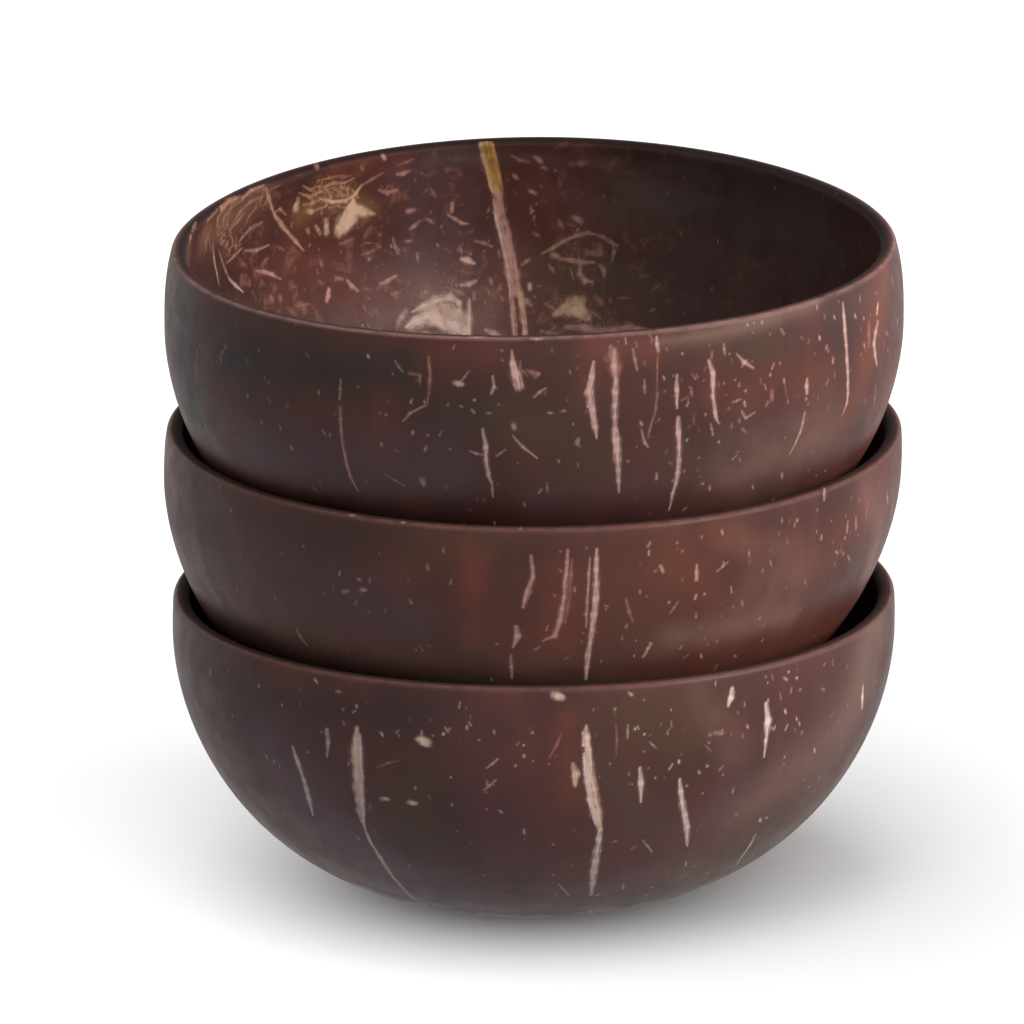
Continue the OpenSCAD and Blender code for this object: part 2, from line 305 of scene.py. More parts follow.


# The fibre bundles that polishing cuts into, read from the photograph: tone, strength,
# and points as x, y and width in its pixels
topOutside = [
    ("rust", 0.75, [(429, 357, 2.5), (430, 380, 3.5), (427, 405, 2)]),
    ("pale", 0.6, [(425, 406, 2), (410, 413, 2.2), (403, 421, 1.5)]), ("pale", 0.6, [(455, 383, 5), (462, 384, 4)]),
    ("pale", 0.5, [(461, 381, 2), (469, 371, 1.2)]), ("pale", 0.75, [(493, 376, 2), (494, 387, 3), (491, 393, 4)]),
    ("pale", 0.95, [(512, 351, 2), (513, 363, 5), (516, 375, 10), (519, 386, 13)]),
    ("rust", 0.6, [(527, 371, 4), (535, 374, 7)]), ("rust", 0.4, [(519, 366, 3), (527, 376, 3)]),
    ("pale", 0.55, [(546, 388, 2), (534, 397, 2.5)]), ("pale", 0.4, [(459, 406, 1.5), (463, 407, 1.5)]),
    ("pale", 0.4, [(486, 413, 1.5), (491, 413, 1.5)]), ("pale", 0.5, [(548, 413, 1.8), (552, 413, 1.8)]),
    ("pale", 0.4, [(563, 411, 2), (565, 411, 2)]),
    ("pale", 0.9, [(594, 362, 3), (592, 377, 5), (589, 392, 7.5), (592, 410, 7), (595, 427, 5), (597, 438, 2)]),
    ("rust", 0.6, [(611, 346, 5), (613, 356, 12), (615, 368, 13), (616, 382, 6)]),
    ("pale", 0.6, [(615, 350, 4), (614, 366, 6), (616, 384, 5)]),
    ("pale", 0.7, [(616, 380, 6), (615, 405, 6), (615, 428, 5)]),
    ("pale", 0.95, [(615, 430, 8), (617, 450, 7.5), (618, 470, 5), (619, 492, 2)]),
    ("pale", 0.5, [(633, 349, 2), (637, 370, 2.5)]), ("pale", 0.4, [(645, 380, 2), (645, 393, 2.5)]),
    ("pale", 0.85, [(657, 337, 3), (658, 351, 3.5)]),
    ("rust", 0.6, [(658, 353, 1.5), (657, 380, 1.6), (657, 397, 2), (655, 413, 2), (650, 430, 2.5), (648, 438, 1.5)]),
    ("pale", 0.6, [(642, 430, 2), (645, 443, 2.6), (648, 447, 2)]),
    ("pale", 0.85, [(677, 375, 3), (677, 390, 4), (677, 408, 3)]),
    ("pale", 0.95, [(678, 418, 5.5), (679, 447, 5), (678, 473, 4), (673, 493, 3), (669, 510, 1.5)]),
    ("pale", 0.3, [(691, 388, 3), (692, 396, 3)]), ("rust", 0.3, [(694, 414, 2.5), (694, 424, 2.5)]),
    ("pale", 0.9, [(709, 361, 4.5), (713, 373, 5), (713, 397, 4), (715, 412, 4), (718, 423, 2)]),
    ("pale", 0.5, [(711, 424, 2), (713, 434, 2)]), ("pale", 0.55, [(724, 344, 2), (725, 354, 2.5)]),
    ("pale", 0.7, [(737, 354, 2), (744, 362, 4), (753, 368, 3)]), ("pale", 0.6, [(747, 360, 2), (742, 367, 2)]),
    ("pale", 0.45, [(733, 402, 3), (741, 399, 2)]), ("pale", 0.5, [(742, 411, 3), (746, 418, 3), (755, 412, 1.5)]),
    ("rust", 0.55, [(772, 391, 5), (772, 400, 4)]), ("rust", 0.3, [(784, 379, 2), (787, 397, 2.5)]),
    ("pale", 0.9, [(807, 379, 3.5), (807, 393, 4.5)]),
    ("pale", 0.7, [(805, 413, 3), (800, 433, 2.6), (790, 454, 1.4)]), ("pale", 0.5, [(782, 473, 3), (782, 478, 2.5)]),
    ("pale", 0.4, [(710, 486, 2), (710, 490, 2)]), ("pale", 0.5, [(752, 485, 2), (753, 489, 2)]),
    ("pale", 0.9, [(843, 303, 3), (845, 330, 5), (847, 360, 4.5), (848, 383, 4), (847, 403, 3), (842, 416, 1.2)]),
    ("pale", 0.9, [(878, 303, 3), (877, 313, 4.5)]), ("pale", 0.85, [(878, 322, 5), (874, 343, 6), (877, 365, 4)]),
    ("rust", 0.6, [(869, 322, 5), (869, 345, 7)]), ("rust", 0.5, [(876, 384, 4), (874, 410, 3)]),
    ("pale", 0.55, [(892, 279, 3), (893, 284, 3)]), ("pale", 0.5, [(898, 319, 3), (897, 324, 2)]),
    ("pale", 0.5, [(886, 332, 4), (888, 335, 3)]), ("pale", 0.5, [(864, 344, 2.5), (865, 348, 2)]),
    ("pale", 0.5, [(819, 336, 2.5), (820, 339, 2.5)]), ("pale", 0.45, [(833, 358, 3), (833, 363, 2.5)]),
    ("pale", 0.45, [(817, 305, 2), (817, 310, 2)]), ("pale", 0.45, [(834, 316, 2.5), (835, 319, 2)]),
    ("pale", 0.5, [(855, 315, 3), (856, 318, 2)]), ("pale", 0.5, [(784, 379, 2), (784, 383, 2)]),
    ("pale", 0.4, [(395, 361, 2), (403, 372, 2)]), ("rust", 0.5, [(410, 373, 3), (420, 376, 4), (415, 381, 2)]),
    ("pale", 0.5, [(368, 355, 2.5), (369, 358, 2)]), ("pink", 0.75, [(341, 379, 2), (339.5, 399, 2.8)]),
    ("pink", 0.8, [(340, 407, 3.4), (341, 431, 3), (345, 455, 3.2), (350, 476, 3), (358, 491, 2)]),
    ("pale", 0.35, [(385, 474, 1.5), (405, 486, 1.5)]), ("pale", 0.35, [(422, 479, 6), (424, 485, 4)]),
    ("pale", 0.9, [(483, 429, 2.5), (486, 447, 4.5), (486, 460, 4.5), (488, 473, 4), (491, 482, 2)]),
    ("pale", 0.7, [(492, 482, 2.6), (493, 497, 1.5)]),
    ("pale", 0.65, [(470, 451, 1.5), (476, 453, 2), (483, 455, 1.5)]),
    ("pale", 0.55, [(496, 456, 1.8), (505, 450, 1.5)]),
    ("pale", 0.75, [(513, 436, 2), (523, 447, 2.4), (537, 458, 2)]), ("pale", 0.3, [(513, 424, 5), (515, 429, 4)]),
    ("pale", 0.35, [(547, 483, 2), (548, 492, 2)]), ("pale", 0.4, [(558, 460, 2), (559, 462, 2)]),
    ("pale", 0.4, [(261, 420, 2), (262, 424, 1.5)]), ("pale", 0.45, [(291, 446, 2.5), (293, 450, 2)]),
    ("pale", 0.4, [(330, 433, 2), (330, 436, 2)]), ("pale", 0.35, [(319, 391, 2), (319, 394, 2)]),
    ("pale", 0.4, [(381, 443, 2), (382, 446, 2)]), ("pale", 0.4, [(426, 447, 3), (425, 451, 2)]),
    ("pale", 0.4, [(413, 431, 2), (413, 434, 2)]), ("pale", 0.35, [(197, 355, 3), (196, 381, 2)]),
    ("pale", 0.35, [(219, 358, 2), (226, 347, 1.5)]), ("pale", 0.3, [(305, 352, 1.5), (309, 358, 1.5)]),
    ("pale", 0.3, [(570, 370, 1.5), (571, 374, 1.5)]), ("pale", 0.3, [(524, 503, 2), (525, 506, 2)]),
    ("pale", 0.8, [(468, 337, 1.6), (484, 337, 1.6)]), ("pale", 0.8, [(531, 339, 1.6), (542, 338.6, 1.6)]),
]
topInside = [
    # the vein: a gold band that turns pink, parts into two legs, and has dark slits
    ("gold", 0.6, [(484.5, 134, 12), (489, 157, 13), (493.5, 176, 13), (496.5, 190, 9), (498, 197, 5)]),
    ("cream", 0.75, [(478.5, 134, 3.5), (483, 155, 4.5), (488, 173, 4.5), (493, 192, 4)]),
    ("gold", 0.95, [(490, 134, 3.5), (495, 157, 4), (499, 176, 4), (502, 190, 2)]),
    ("dark", 0.6, [(484, 134, 2.5), (489.5, 157, 2.5), (494, 172, 2.5)]),
    ("pink", 0.85, [(496, 184, 8), (497.5, 194, 11), (499.5, 212, 13), (505, 235, 13), (509, 255, 13),
        (512.5, 275, 14), (515, 293, 12)]),
    ("white", 0.85, [(493.5, 200, 3), (496.5, 218, 3.6), (501, 236, 3.6), (505, 256, 3.4), (508, 276, 3.4),
        (510.5, 296, 3)]),
    ("tan", 0.75, [(504, 214, 2.5), (509.5, 236, 3), (513.5, 256, 3), (517, 276, 4), (520, 294, 4)]),
    ("dark", 0.85, [(500.5, 206, 2), (502.5, 220, 4.4), (505, 234, 2)]),
    ("dark", 0.4, [(507, 244, 1), (511, 262, 1.6), (514, 285, 2)]),
    ("pink", 0.9, [(511, 290, 6), (512.5, 308, 6), (514.5, 325, 6), (516, 342, 6)]),
    ("cream", 0.7, [(518, 284, 6), (521.5, 304, 7), (524, 322, 6), (526, 342, 6)]),
    ("dark", 0.7, [(516, 297, 1.5), (517, 312, 3.4), (519.5, 328, 4), (521, 342, 4.4)]),
    ("cream", 0.5, [(522, 299, 5), (527, 302, 7), (531, 305, 4)]),
    ("white", 0.6, [(511, 306, 2), (513, 325, 2), (514.5, 342, 2)]), ("rust", 0.5, [(499, 250, 3), (500, 256, 4)]),
    # loose fibres at the left
    ("pale", 0.6, [(191, 235, 3), (188, 246, 5), (185, 258, 5), (183, 267, 3)]),
    ("tan", 0.5, [(196, 222, 3), (192, 232, 3)]),
    ("pale", 0.65, [(213, 245, 2.5), (214, 258, 3.5), (217, 274, 3.5), (219, 285, 2)]),
    ("tan", 0.6, [(219, 250, 2.5), (222, 261, 3), (226, 271, 3), (229, 278, 2)]),
    ("pale", 0.9, [(229, 278, 3), (235, 285, 4), (243, 292, 3)]),
    ("tan", 0.65, [(227, 263, 3), (234, 256, 3.5), (242, 248, 3)]),
    ("tan", 0.7, [(245, 251, 3), (257, 250, 4), (269, 245, 3)]),
    ("tan", 0.6, [(208, 234, 4), (206, 242, 4), (206, 250, 3)]),
    ("tan", 0.65, [(230, 200, 4), (222, 208, 6), (218, 218, 6), (217, 227, 3)]),
    ("tan", 0.55, [(238, 202, 3), (230, 209, 4), (224, 218, 4), (223, 228, 2)]),
    ("tan", 0.6, [(264, 185, 3), (252, 190, 4), (243, 198, 4), (234, 208, 3)]),
    ("tan", 0.6, [(263, 196, 3), (250, 202, 4.5), (240, 212, 4), (231, 226, 3)]),
    ("tan", 0.65, [(244, 213, 3), (238, 221, 4), (230, 230, 3)]),
    ("tan", 0.5, [(262, 222, 4), (250, 229, 4.5), (242, 238, 4), (237, 246, 2)]),
    ("tan", 0.45, [(218, 209, 3), (208, 221, 4), (203, 233, 3)]),
    ("tan", 0.45, [(257, 207, 3), (249, 216, 3), (245, 226, 2)]),
    ("tan", 0.5, [(229, 214, 3), (227, 224, 3), (231, 233, 2.5)]), ("tan", 0.45, [(240, 196, 3), (230, 203, 3)]),
    ("tan", 0.4, [(212, 224, 2), (209, 238, 2), (211, 250, 1.5)]), ("tan", 0.4, [(232, 238, 3), (233, 246, 3)]),
    ("tan", 0.4, [(222, 232, 2), (221, 245, 2)]), ("rust", 0.5, [(226, 200, 4), (236, 197, 5)]),
    ("tan", 0.9, [(266, 189, 4), (269, 198, 5), (272, 208, 4), (275, 216, 4), (281, 224, 6), (288, 232, 4.5),
        (296, 242, 4.5), (304, 251, 2)]), ("dark", 0.4, [(264, 200, 3), (269, 212, 3.5), (274, 224, 2)]),
    ("tan", 0.6, [(274, 213, 3), (280, 209, 3.5), (286, 215, 3)]), ("tan", 0.4, [(270, 190, 3), (280, 185, 3)]),
    ("rust", 0.4, [(276, 246, 3), (284, 250, 3)]), ("rust", 0.35, [(268, 258, 4), (262, 264, 4)]),
    # the knot of curls and its cream wedge
    ("cream", 0.75, [(298, 199, 6), (296, 208, 9)]), ("cream", 0.55, [(308, 211, 6), (313, 212, 5)]),
    ("tan", 0.75, [(303, 186, 2.5), (311, 190, 3), (318, 186, 2.5)]),
    ("tan", 0.7, [(299, 193, 2.5), (309, 197, 3.5), (320, 192, 3), (328, 186, 2)]),
    ("tan", 0.75, [(322, 187, 2.5), (333, 183, 3.5), (345, 183, 3.5), (354, 178, 2.5)]),
    ("tan", 0.7, [(338, 196, 2.5), (341, 188, 3), (348, 188, 3), (348, 195, 3), (341, 196, 2.5)]),
    ("tan", 0.65, [(326, 189, 2.5), (331, 197, 3.5), (326, 206, 3.5), (316, 210, 3)]),
    ("cream", 0.85, [(320, 199, 3), (333, 202, 4), (346, 201, 4.5), (355, 194, 4.5), (362, 185, 3)]),
    ("rust", 0.75, [(361, 186, 3), (372, 179, 4), (383, 173, 3)]),
    ("tan", 0.6, [(303, 205, 3), (313, 203, 3.5), (322, 199, 3)]),
    ("tan", 0.6, [(306, 194, 2.5), (313, 201, 3), (310, 208, 2.5)]),
    ("tan", 0.6, [(329, 208, 3), (338, 206, 3), (346, 208, 2.5)]),
    ("gold", 0.5, [(318, 181, 2), (330, 178, 3), (344, 175, 2.5)]), ("gold", 0.5, [(352, 190, 4), (358, 198, 4)]),
    ("rust", 0.5, [(340, 178, 4), (350, 176, 4)]),
    ("cream", 1, [(353, 199, 5), (352, 208, 13), (349, 217, 21), (343, 226, 20), (338, 234, 9)]),
    ("cream", 0.95, [(358, 209, 13), (366, 213, 11), (374, 214, 4)]), ("cream", 0.55, [(326, 220, 5), (327, 232, 8)]),
    ("tan", 0.6, [(316, 226, 4), (320, 233, 5)]), ("tan", 0.4, [(307, 229, 4), (309, 233, 4)]),
    # flecks
    ("rust", 0.5, [(316, 163, 5), (317, 168, 5)]), ("rust", 0.45, [(361, 166, 4), (363, 170, 4)]),
    ("pale", 0.5, [(383, 156, 4), (385, 159, 4)]), ("pink", 0.6, [(379, 190, 4), (388, 193, 5), (397, 190, 4)]),
    ("rust", 0.6, [(399, 165, 4), (406, 162, 5), (413, 159, 4)]),
    ("pink", 0.8, [(397, 174, 3.5), (404, 173, 5), (410, 171, 3)]), ("pink", 0.65, [(408, 211, 5), (414, 210, 5)]),
    ("pink", 0.6, [(410, 229, 4), (414, 226, 4.5), (420, 221, 3)]), ("pink", 0.55, [(427, 219, 3), (434, 223, 3)]),
    ("pink", 0.7, [(452, 204, 5), (452, 212, 3)]),
    ("pink", 0.8, [(448, 215, 3.5), (455, 219, 4), (461, 223, 3.5), (468, 224, 2)]),
    ("pink", 0.55, [(475, 241, 3), (484, 243, 3.4), (492, 247, 3)]), ("pink", 0.45, [(460, 248, 4), (461, 252, 4)]),
    ("pale", 0.8, [(462, 259, 4), (468, 260, 6), (474, 263, 3)]),
    ("pale", 0.7, [(461, 285, 4), (469, 284, 5.5), (476, 281, 4)]), ("pink", 0.4, [(473, 294, 4), (474, 299, 4)]),
    ("pink", 0.4, [(406, 241, 2.5), (412, 241, 2.5)]), ("pink", 0.4, [(417, 254, 3), (418, 262, 3)]),
    ("pink", 0.5, [(393, 238, 3), (395, 247, 4), (398, 254, 3)]),
    ("pink", 0.75, [(380, 284, 4), (388, 281, 5), (396, 276, 4)]), ("pink", 0.55, [(490, 279, 4), (492, 284, 3)]),
    ("rust", 0.5, [(487, 288, 3), (490, 295, 3)]), ("rust", 0.5, [(501, 284, 3), (498, 292, 3)]),
    ("pink", 0.75, [(256, 271, 2.5), (264, 272, 5), (272, 274, 4), (281, 279, 2.5)]),
    ("rust", 0.6, [(270, 297, 6), (273, 300, 6)]), ("rust", 0.45, [(280, 296, 5), (281, 300, 5)]),
    ("rust", 0.45, [(249, 280, 4), (250, 284, 4)]), ("pink", 0.9, [(329, 290, 4.5), (328, 296, 6), (327, 301, 4)]),
    ("pink", 0.75, [(347, 280, 3.5), (352, 286, 5), (358, 291, 3)]),
    ("rust", 0.6, [(336, 277, 3.5), (343, 279, 3.5)]), ("rust", 0.4, [(318, 281, 5), (322, 284, 5)]),
    ("rust", 0.45, [(320, 261, 5), (322, 265, 5)]), ("rust", 0.5, [(340, 244, 4), (352, 240, 3)]),
    ("rust", 0.55, [(362, 255, 3), (374, 251, 3)]), ("dark", 0.6, [(375, 252, 3), (378, 253, 3)]),
    ("rust", 0.45, [(364, 243, 2.5), (372, 243, 2.5)]), ("rust", 0.35, [(296, 306, 4), (310, 304, 4)]),
    ("rust", 0.4, [(392, 294, 4), (400, 292, 4)]), ("rust", 0.4, [(431, 189, 3), (436, 196, 3)]),
    ("rust", 0.35, [(240, 262, 4), (246, 266, 4)]), ("rust", 0.65, [(511, 155, 3.5), (520, 160, 4.5), (529, 162, 4)]),
    ("pink", 0.8, [(535, 157, 4), (540, 161, 6)]), ("pink", 0.5, [(543, 167, 4), (546, 169, 4)]),
    ("pink", 0.45, [(514, 175, 4), (517, 178, 4)]), ("pink", 0.65, [(530, 191, 4), (536, 194, 4)]),
    ("rust", 0.6, [(571, 164, 6), (581, 163, 7), (586, 162, 5)]), ("rust", 0.45, [(559, 179, 3), (560, 186, 3)]),
    ("rust", 0.35, [(556, 148, 5), (566, 144, 5)]), ("rust", 0.3, [(610, 168, 8), (616, 160, 8)]),
    ("rust", 0.3, [(628, 173, 7), (638, 174, 7)]),
    # the cream patch low in the middle
    ("white", 0.55, [(412, 326, 12), (428, 316, 22), (446, 314, 32), (460, 322, 24)]),
    ("white", 0.85, [(407, 327, 7), (416, 321, 11), (428, 316, 13), (440, 320, 11)]),
    ("white", 0.7, [(413, 312, 5), (424, 306, 8), (436, 300, 9), (450, 297, 8), (459, 303, 6), (460, 313, 6)]),
    ("white", 0.9, [(438, 319, 13), (450, 326, 19), (465, 331, 13)]),
    ("white", 0.75, [(469, 300, 5), (469, 318, 7), (470, 336, 6)]), ("tan", 0.45, [(443, 308, 7), (450, 309, 9)]),
    ("rust", 0.7, [(414, 334, 4), (426, 333, 6), (438, 336, 4)]),
    ("tan", 0.6, [(440, 304, 2), (449, 302, 2), (455, 308, 2), (452, 316, 2), (443, 316, 2)]),
    ("white", 0.4, [(398, 322, 6), (406, 312, 7)]), ("tan", 0.4, [(452, 290, 5), (464, 294, 5)]),
    ("pale", 0.6, [(486, 330, 6), (494, 333, 6), (500, 336, 4)]),
    # the second knot, right of the vein
    ("tan", 0.85, [(542, 254, 3), (553, 248, 4), (563, 241, 4), (575, 236, 4.5), (588, 233, 4), (594, 234, 3)]),
    ("tan", 0.6, [(594, 234, 3), (603, 237, 4), (611, 242, 4), (618, 246, 3)]),
    ("tan", 0.6, [(613, 243, 3.5), (614, 252, 4), (612, 261, 3)]), ("cream", 0.6, [(552, 255, 7), (558, 257, 7)]),
    ("tan", 0.8, [(560, 259, 4), (570, 260, 5), (582, 262, 4.5), (594, 262, 3)]),
    ("rust", 0.65, [(588, 252, 7), (600, 254, 7), (599, 246, 5)]),
    ("pink", 0.7, [(580, 265, 4), (580, 274, 5.5), (585, 281, 6), (592, 282, 4)]),
    ("pink", 0.8, [(600, 265, 3), (604, 270, 4.5), (604, 277, 3)]), ("pink", 0.5, [(574, 217, 5), (581, 221, 7)]),
    ("rust", 0.6, [(559, 221, 5), (562, 228, 6)]), ("rust", 0.45, [(567, 224, 3), (575, 226, 3)]),
    ("rust", 0.4, [(534, 233, 4), (539, 236, 4)]), ("pale", 0.75, [(530, 284, 3.4), (530, 289, 3.4)]),
    ("cream", 0.5, [(523, 264, 4), (529, 260, 5)]), ("tan", 0.4, [(550, 266, 4), (554, 272, 3)]),
    ("tan", 0.35, [(538, 286, 2.5), (541, 286, 2.5)]), ("tan", 0.5, [(570, 268, 2), (574, 280, 2)]),
    ("tan", 0.4, [(618, 298, 2), (630, 298, 2.5)]), ("rust", 0.4, [(652, 290, 4), (660, 284, 4)]),
    ("rust", 0.3, [(640, 277, 4), (650, 275, 3)]),
    ("cream", 0.8, [(555, 314, 6), (566, 310, 14), (578, 310, 17), (588, 317, 9)]),
    ("cream", 0.5, [(568, 301, 8), (582, 300, 10)]), ("rust", 0.6, [(596, 298, 7), (601, 303, 7)]),
    ("tan", 0.4, [(545, 304, 5), (556, 310, 5)]), ("tan", 0.5, [(592, 312, 5), (600, 318, 4)]),
    ("pink", 0.7, [(566, 327, 7), (584, 328, 9), (602, 331, 8), (625, 328, 7), (652, 330, 4)]),
    ("tan", 0.4, [(626, 322, 4), (636, 328, 5)]), ("tan", 0.4, [(541, 332, 6), (556, 334, 6)]),
]
middleOutside = [
    ("pale", 0.9, [(597, 549, 3), (596, 570, 5), (596, 599, 6), (592, 630, 5), (588, 655, 5), (586, 679, 4)]),
    ("pale", 0.6, [(590, 558, 2), (588, 590, 2.5), (586, 627, 2)]),
    ("pink", 0.85, [(568, 550, 3), (566, 575, 4), (564, 597, 4.5), (560, 620, 5), (555, 636, 5), (543, 641, 2)]),
    ("rust", 0.5, [(572, 560, 3), (570, 590, 4), (566, 620, 3)]),
    ("pink", 0.75, [(531, 556, 4), (533, 577, 3.5), (528, 592, 6), (523, 607, 5)]),
    ("pale", 0.6, [(527, 590, 3), (524, 602, 3)]), ("pale", 0.7, [(516, 627, 6), (518, 636, 6), (513, 647, 3)]),
    ("pale", 0.6, [(511, 655, 3), (512, 678, 3)]), ("pale", 0.45, [(661, 567, 4), (663, 572, 3)]),
    ("pale", 0.7, [(697, 565, 3), (697, 580, 3.5)]), ("pale", 0.5, [(717, 571, 2), (728, 562, 2)]),
    ("pale", 0.4, [(749, 552, 2), (749, 556, 2)]), ("pale", 0.5, [(670, 613, 1.8), (678, 602, 1.8)]),
    ("pale", 0.7, [(643, 657, 3), (648, 648, 3), (652, 643, 2)]),
    ("tan", 0.45, [(626, 599, 3), (629, 611, 3), (633, 621, 2)]), ("pale", 0.35, [(640, 590, 2), (640, 594, 2)]),
    ("pale", 0.35, [(622, 636, 2), (622, 640, 2)]), ("pale", 0.4, [(701, 654, 2), (702, 658, 2)]),
    ("pale", 0.7, [(824, 488, 2.5), (824, 500, 3)]), ("pale", 0.6, [(887, 492, 3), (888, 504, 3)]),
    ("rust", 0.5, [(893, 505, 4), (891, 522, 3)]), ("pale", 0.6, [(856, 517, 2.5), (856, 530, 2.5)]),
    ("pale", 0.6, [(848, 521, 2.5), (847, 533, 3)]), ("pale", 0.4, [(782, 518, 2), (782, 523, 2)]),
    ("rust", 0.4, [(868, 500, 4), (866, 520, 4)]), ("pale", 0.4, [(836, 551, 2.5), (838, 554, 2)]),
    ("pale", 0.4, [(848, 556, 2), (850, 560, 2)]), ("pale", 0.35, [(220, 484, 2), (220, 490, 2)]),
    ("pale", 0.6, [(343, 592, 5), (349, 591, 4)]), ("pale", 0.55, [(361, 590, 4), (366, 590, 3)]),
    ("pale", 0.5, [(358, 579, 2), (361, 580, 2)]), ("pale", 0.65, [(296, 628, 2), (300, 636, 3), (307, 645, 2)]),
    ("pale", 0.5, [(350, 515, 3), (354, 515, 3)]), ("pale", 0.5, [(402, 522, 3), (405, 523, 2)]),
    ("pale", 0.35, [(443, 548, 2), (444, 553, 2)]), ("pale", 0.3, [(410, 600, 2), (412, 604, 2)]),
    ("pale", 0.35, [(742, 600, 2), (743, 606, 2)]), ("pale", 0.35, [(770, 560, 2), (772, 566, 2)]),
    ("pale", 0.3, [(805, 580, 2), (806, 585, 2)]), ("pale", 0.35, [(722, 530, 2), (723, 534, 2)]),
]
bottomOutside = [
    ("pink", 0.95, [(357, 728, 6), (357, 750, 12), (358, 775, 12), (359, 800, 10), (362, 822, 5)]),
    ("cream", 0.95, [(356, 729, 4), (356, 750, 7), (357, 775, 7), (358, 800, 5)]),
    ("pale", 0.95, [(360, 735, 3), (361, 770, 4), (362, 800, 5), (364, 826, 4)]),
    ("pale", 0.95, [(364, 826, 4), (370, 841, 3.4), (380, 857, 4.4), (390, 873, 4), (401, 886, 3.6), (414, 899, 3)]),
    ("pale", 0.5, [(424, 903, 3), (427, 906, 3)]),
    ("pale", 0.95, [(293, 747, 4), (298, 763, 6), (304, 780, 5), (309, 799, 5.5), (313, 815, 3)]),
    ("pale", 0.6, [(327, 730, 6), (328, 742, 5), (327, 757, 2)]), ("cream", 0.85, [(419, 739, 7), (427, 743, 9)]),
    ("pale", 0.65, [(382, 799, 5), (388, 799, 4)]), ("pale", 0.7, [(410, 802, 6), (415, 803, 5)]),
    ("rust", 0.5, [(377, 767, 3), (388, 763, 3), (398, 761, 2)]), ("pale", 0.55, [(487, 768, 2), (498, 759, 2)]),
    ("pale", 0.5, [(484, 790, 1.8), (496, 780, 1.8)]), ("pale", 0.4, [(274, 760, 2), (274, 763, 2)]),
    ("pale", 0.45, [(381, 733, 3), (383, 736, 2)]), ("pale", 0.4, [(467, 726, 2), (467, 729, 2)]),
    ("pale", 0.4, [(494, 731, 2), (494, 734, 2)]), ("pale", 0.45, [(315, 679, 2), (317, 682, 2)]),
    ("pale", 0.45, [(336, 691, 2), (341, 692, 2)]),
    ("cream", 0.95, [(586, 726, 4), (588, 750, 7), (590, 779, 10), (596, 812, 11), (600, 830, 7)]),
    ("pink", 0.8, [(588, 735, 5), (587, 775, 5), (592, 805, 5)]),
    ("pale", 0.9, [(583, 732, 2), (585, 770, 3), (591, 805, 3), (596, 826, 2)]),
    ("rust", 0.7, [(593, 760, 1.5), (596, 785, 2), (601, 812, 2)]),
    ("pale", 0.85, [(601, 828, 4), (597, 851, 7), (594, 872, 7), (591, 895, 4)]),
    ("pale", 0.6, [(589, 911, 3), (592, 913, 3)]), ("pale", 0.8, [(640, 768, 4), (641, 783, 6), (641, 802, 3)]),
    ("pale", 0.85, [(680, 779, 3), (682, 803, 6), (687, 827, 6), (687, 846, 3)]),
    ("pale", 0.5, [(679, 760, 2), (679, 763, 2)]),
    ("pale", 0.85, [(766, 704, 6), (768, 721, 8), (766, 740, 4), (764, 757, 2)]),
    ("pale", 0.9, [(732, 689, 6), (731, 698, 6), (728, 706, 3)]), ("pale", 0.85, [(863, 686, 4), (862, 708, 5)]),
    ("cream", 0.55, [(555, 695, 8), (562, 697, 6)]), ("pale", 0.4, [(629, 693, 3), (632, 695, 3)]),
    ("rust", 0.6, [(561, 734, 2), (557, 745, 3), (549, 758, 2)]),
    ("rust", 0.5, [(616, 724, 2), (617, 740, 2.5), (616, 757, 2)]), ("pale", 0.4, [(628, 725, 2), (628, 738, 2)]),
    ("cream", 0.75, [(573, 764, 5), (576, 774, 8), (575, 786, 4)]), ("tan", 0.4, [(715, 733, 5), (724, 733, 4)]),
    ("pale", 0.35, [(747, 725, 2), (748, 728, 2)]), ("pale", 0.4, [(785, 710, 2.5), (786, 713, 2)]),
    ("pale", 0.4, [(814, 748, 2), (815, 752, 2)]), ("pale", 0.4, [(784, 678, 3), (787, 680, 3)]),
    ("pale", 0.7, [(756, 834, 2), (750, 845, 3), (743, 855, 2.4), (736, 865, 1.2)]),
    ("pale", 0.45, [(760, 819, 3), (761, 822, 2)]), ("pale", 0.5, [(643, 840, 1.8), (652, 852, 1.8)]),
    ("pale", 0.55, [(559, 884, 1.8), (569, 896, 1.8)]), ("pale", 0.5, [(623, 884, 2.5), (623, 889, 2)]),
    ("pale", 0.4, [(686, 862, 2), (686, 866, 2)]), ("pale", 0.4, [(883, 600, 6), (884, 608, 4)]),
    ("pale", 0.35, [(650, 742, 2), (656, 748, 2)]), ("tan", 0.35, [(705, 745, 2), (712, 752, 2)]),
]
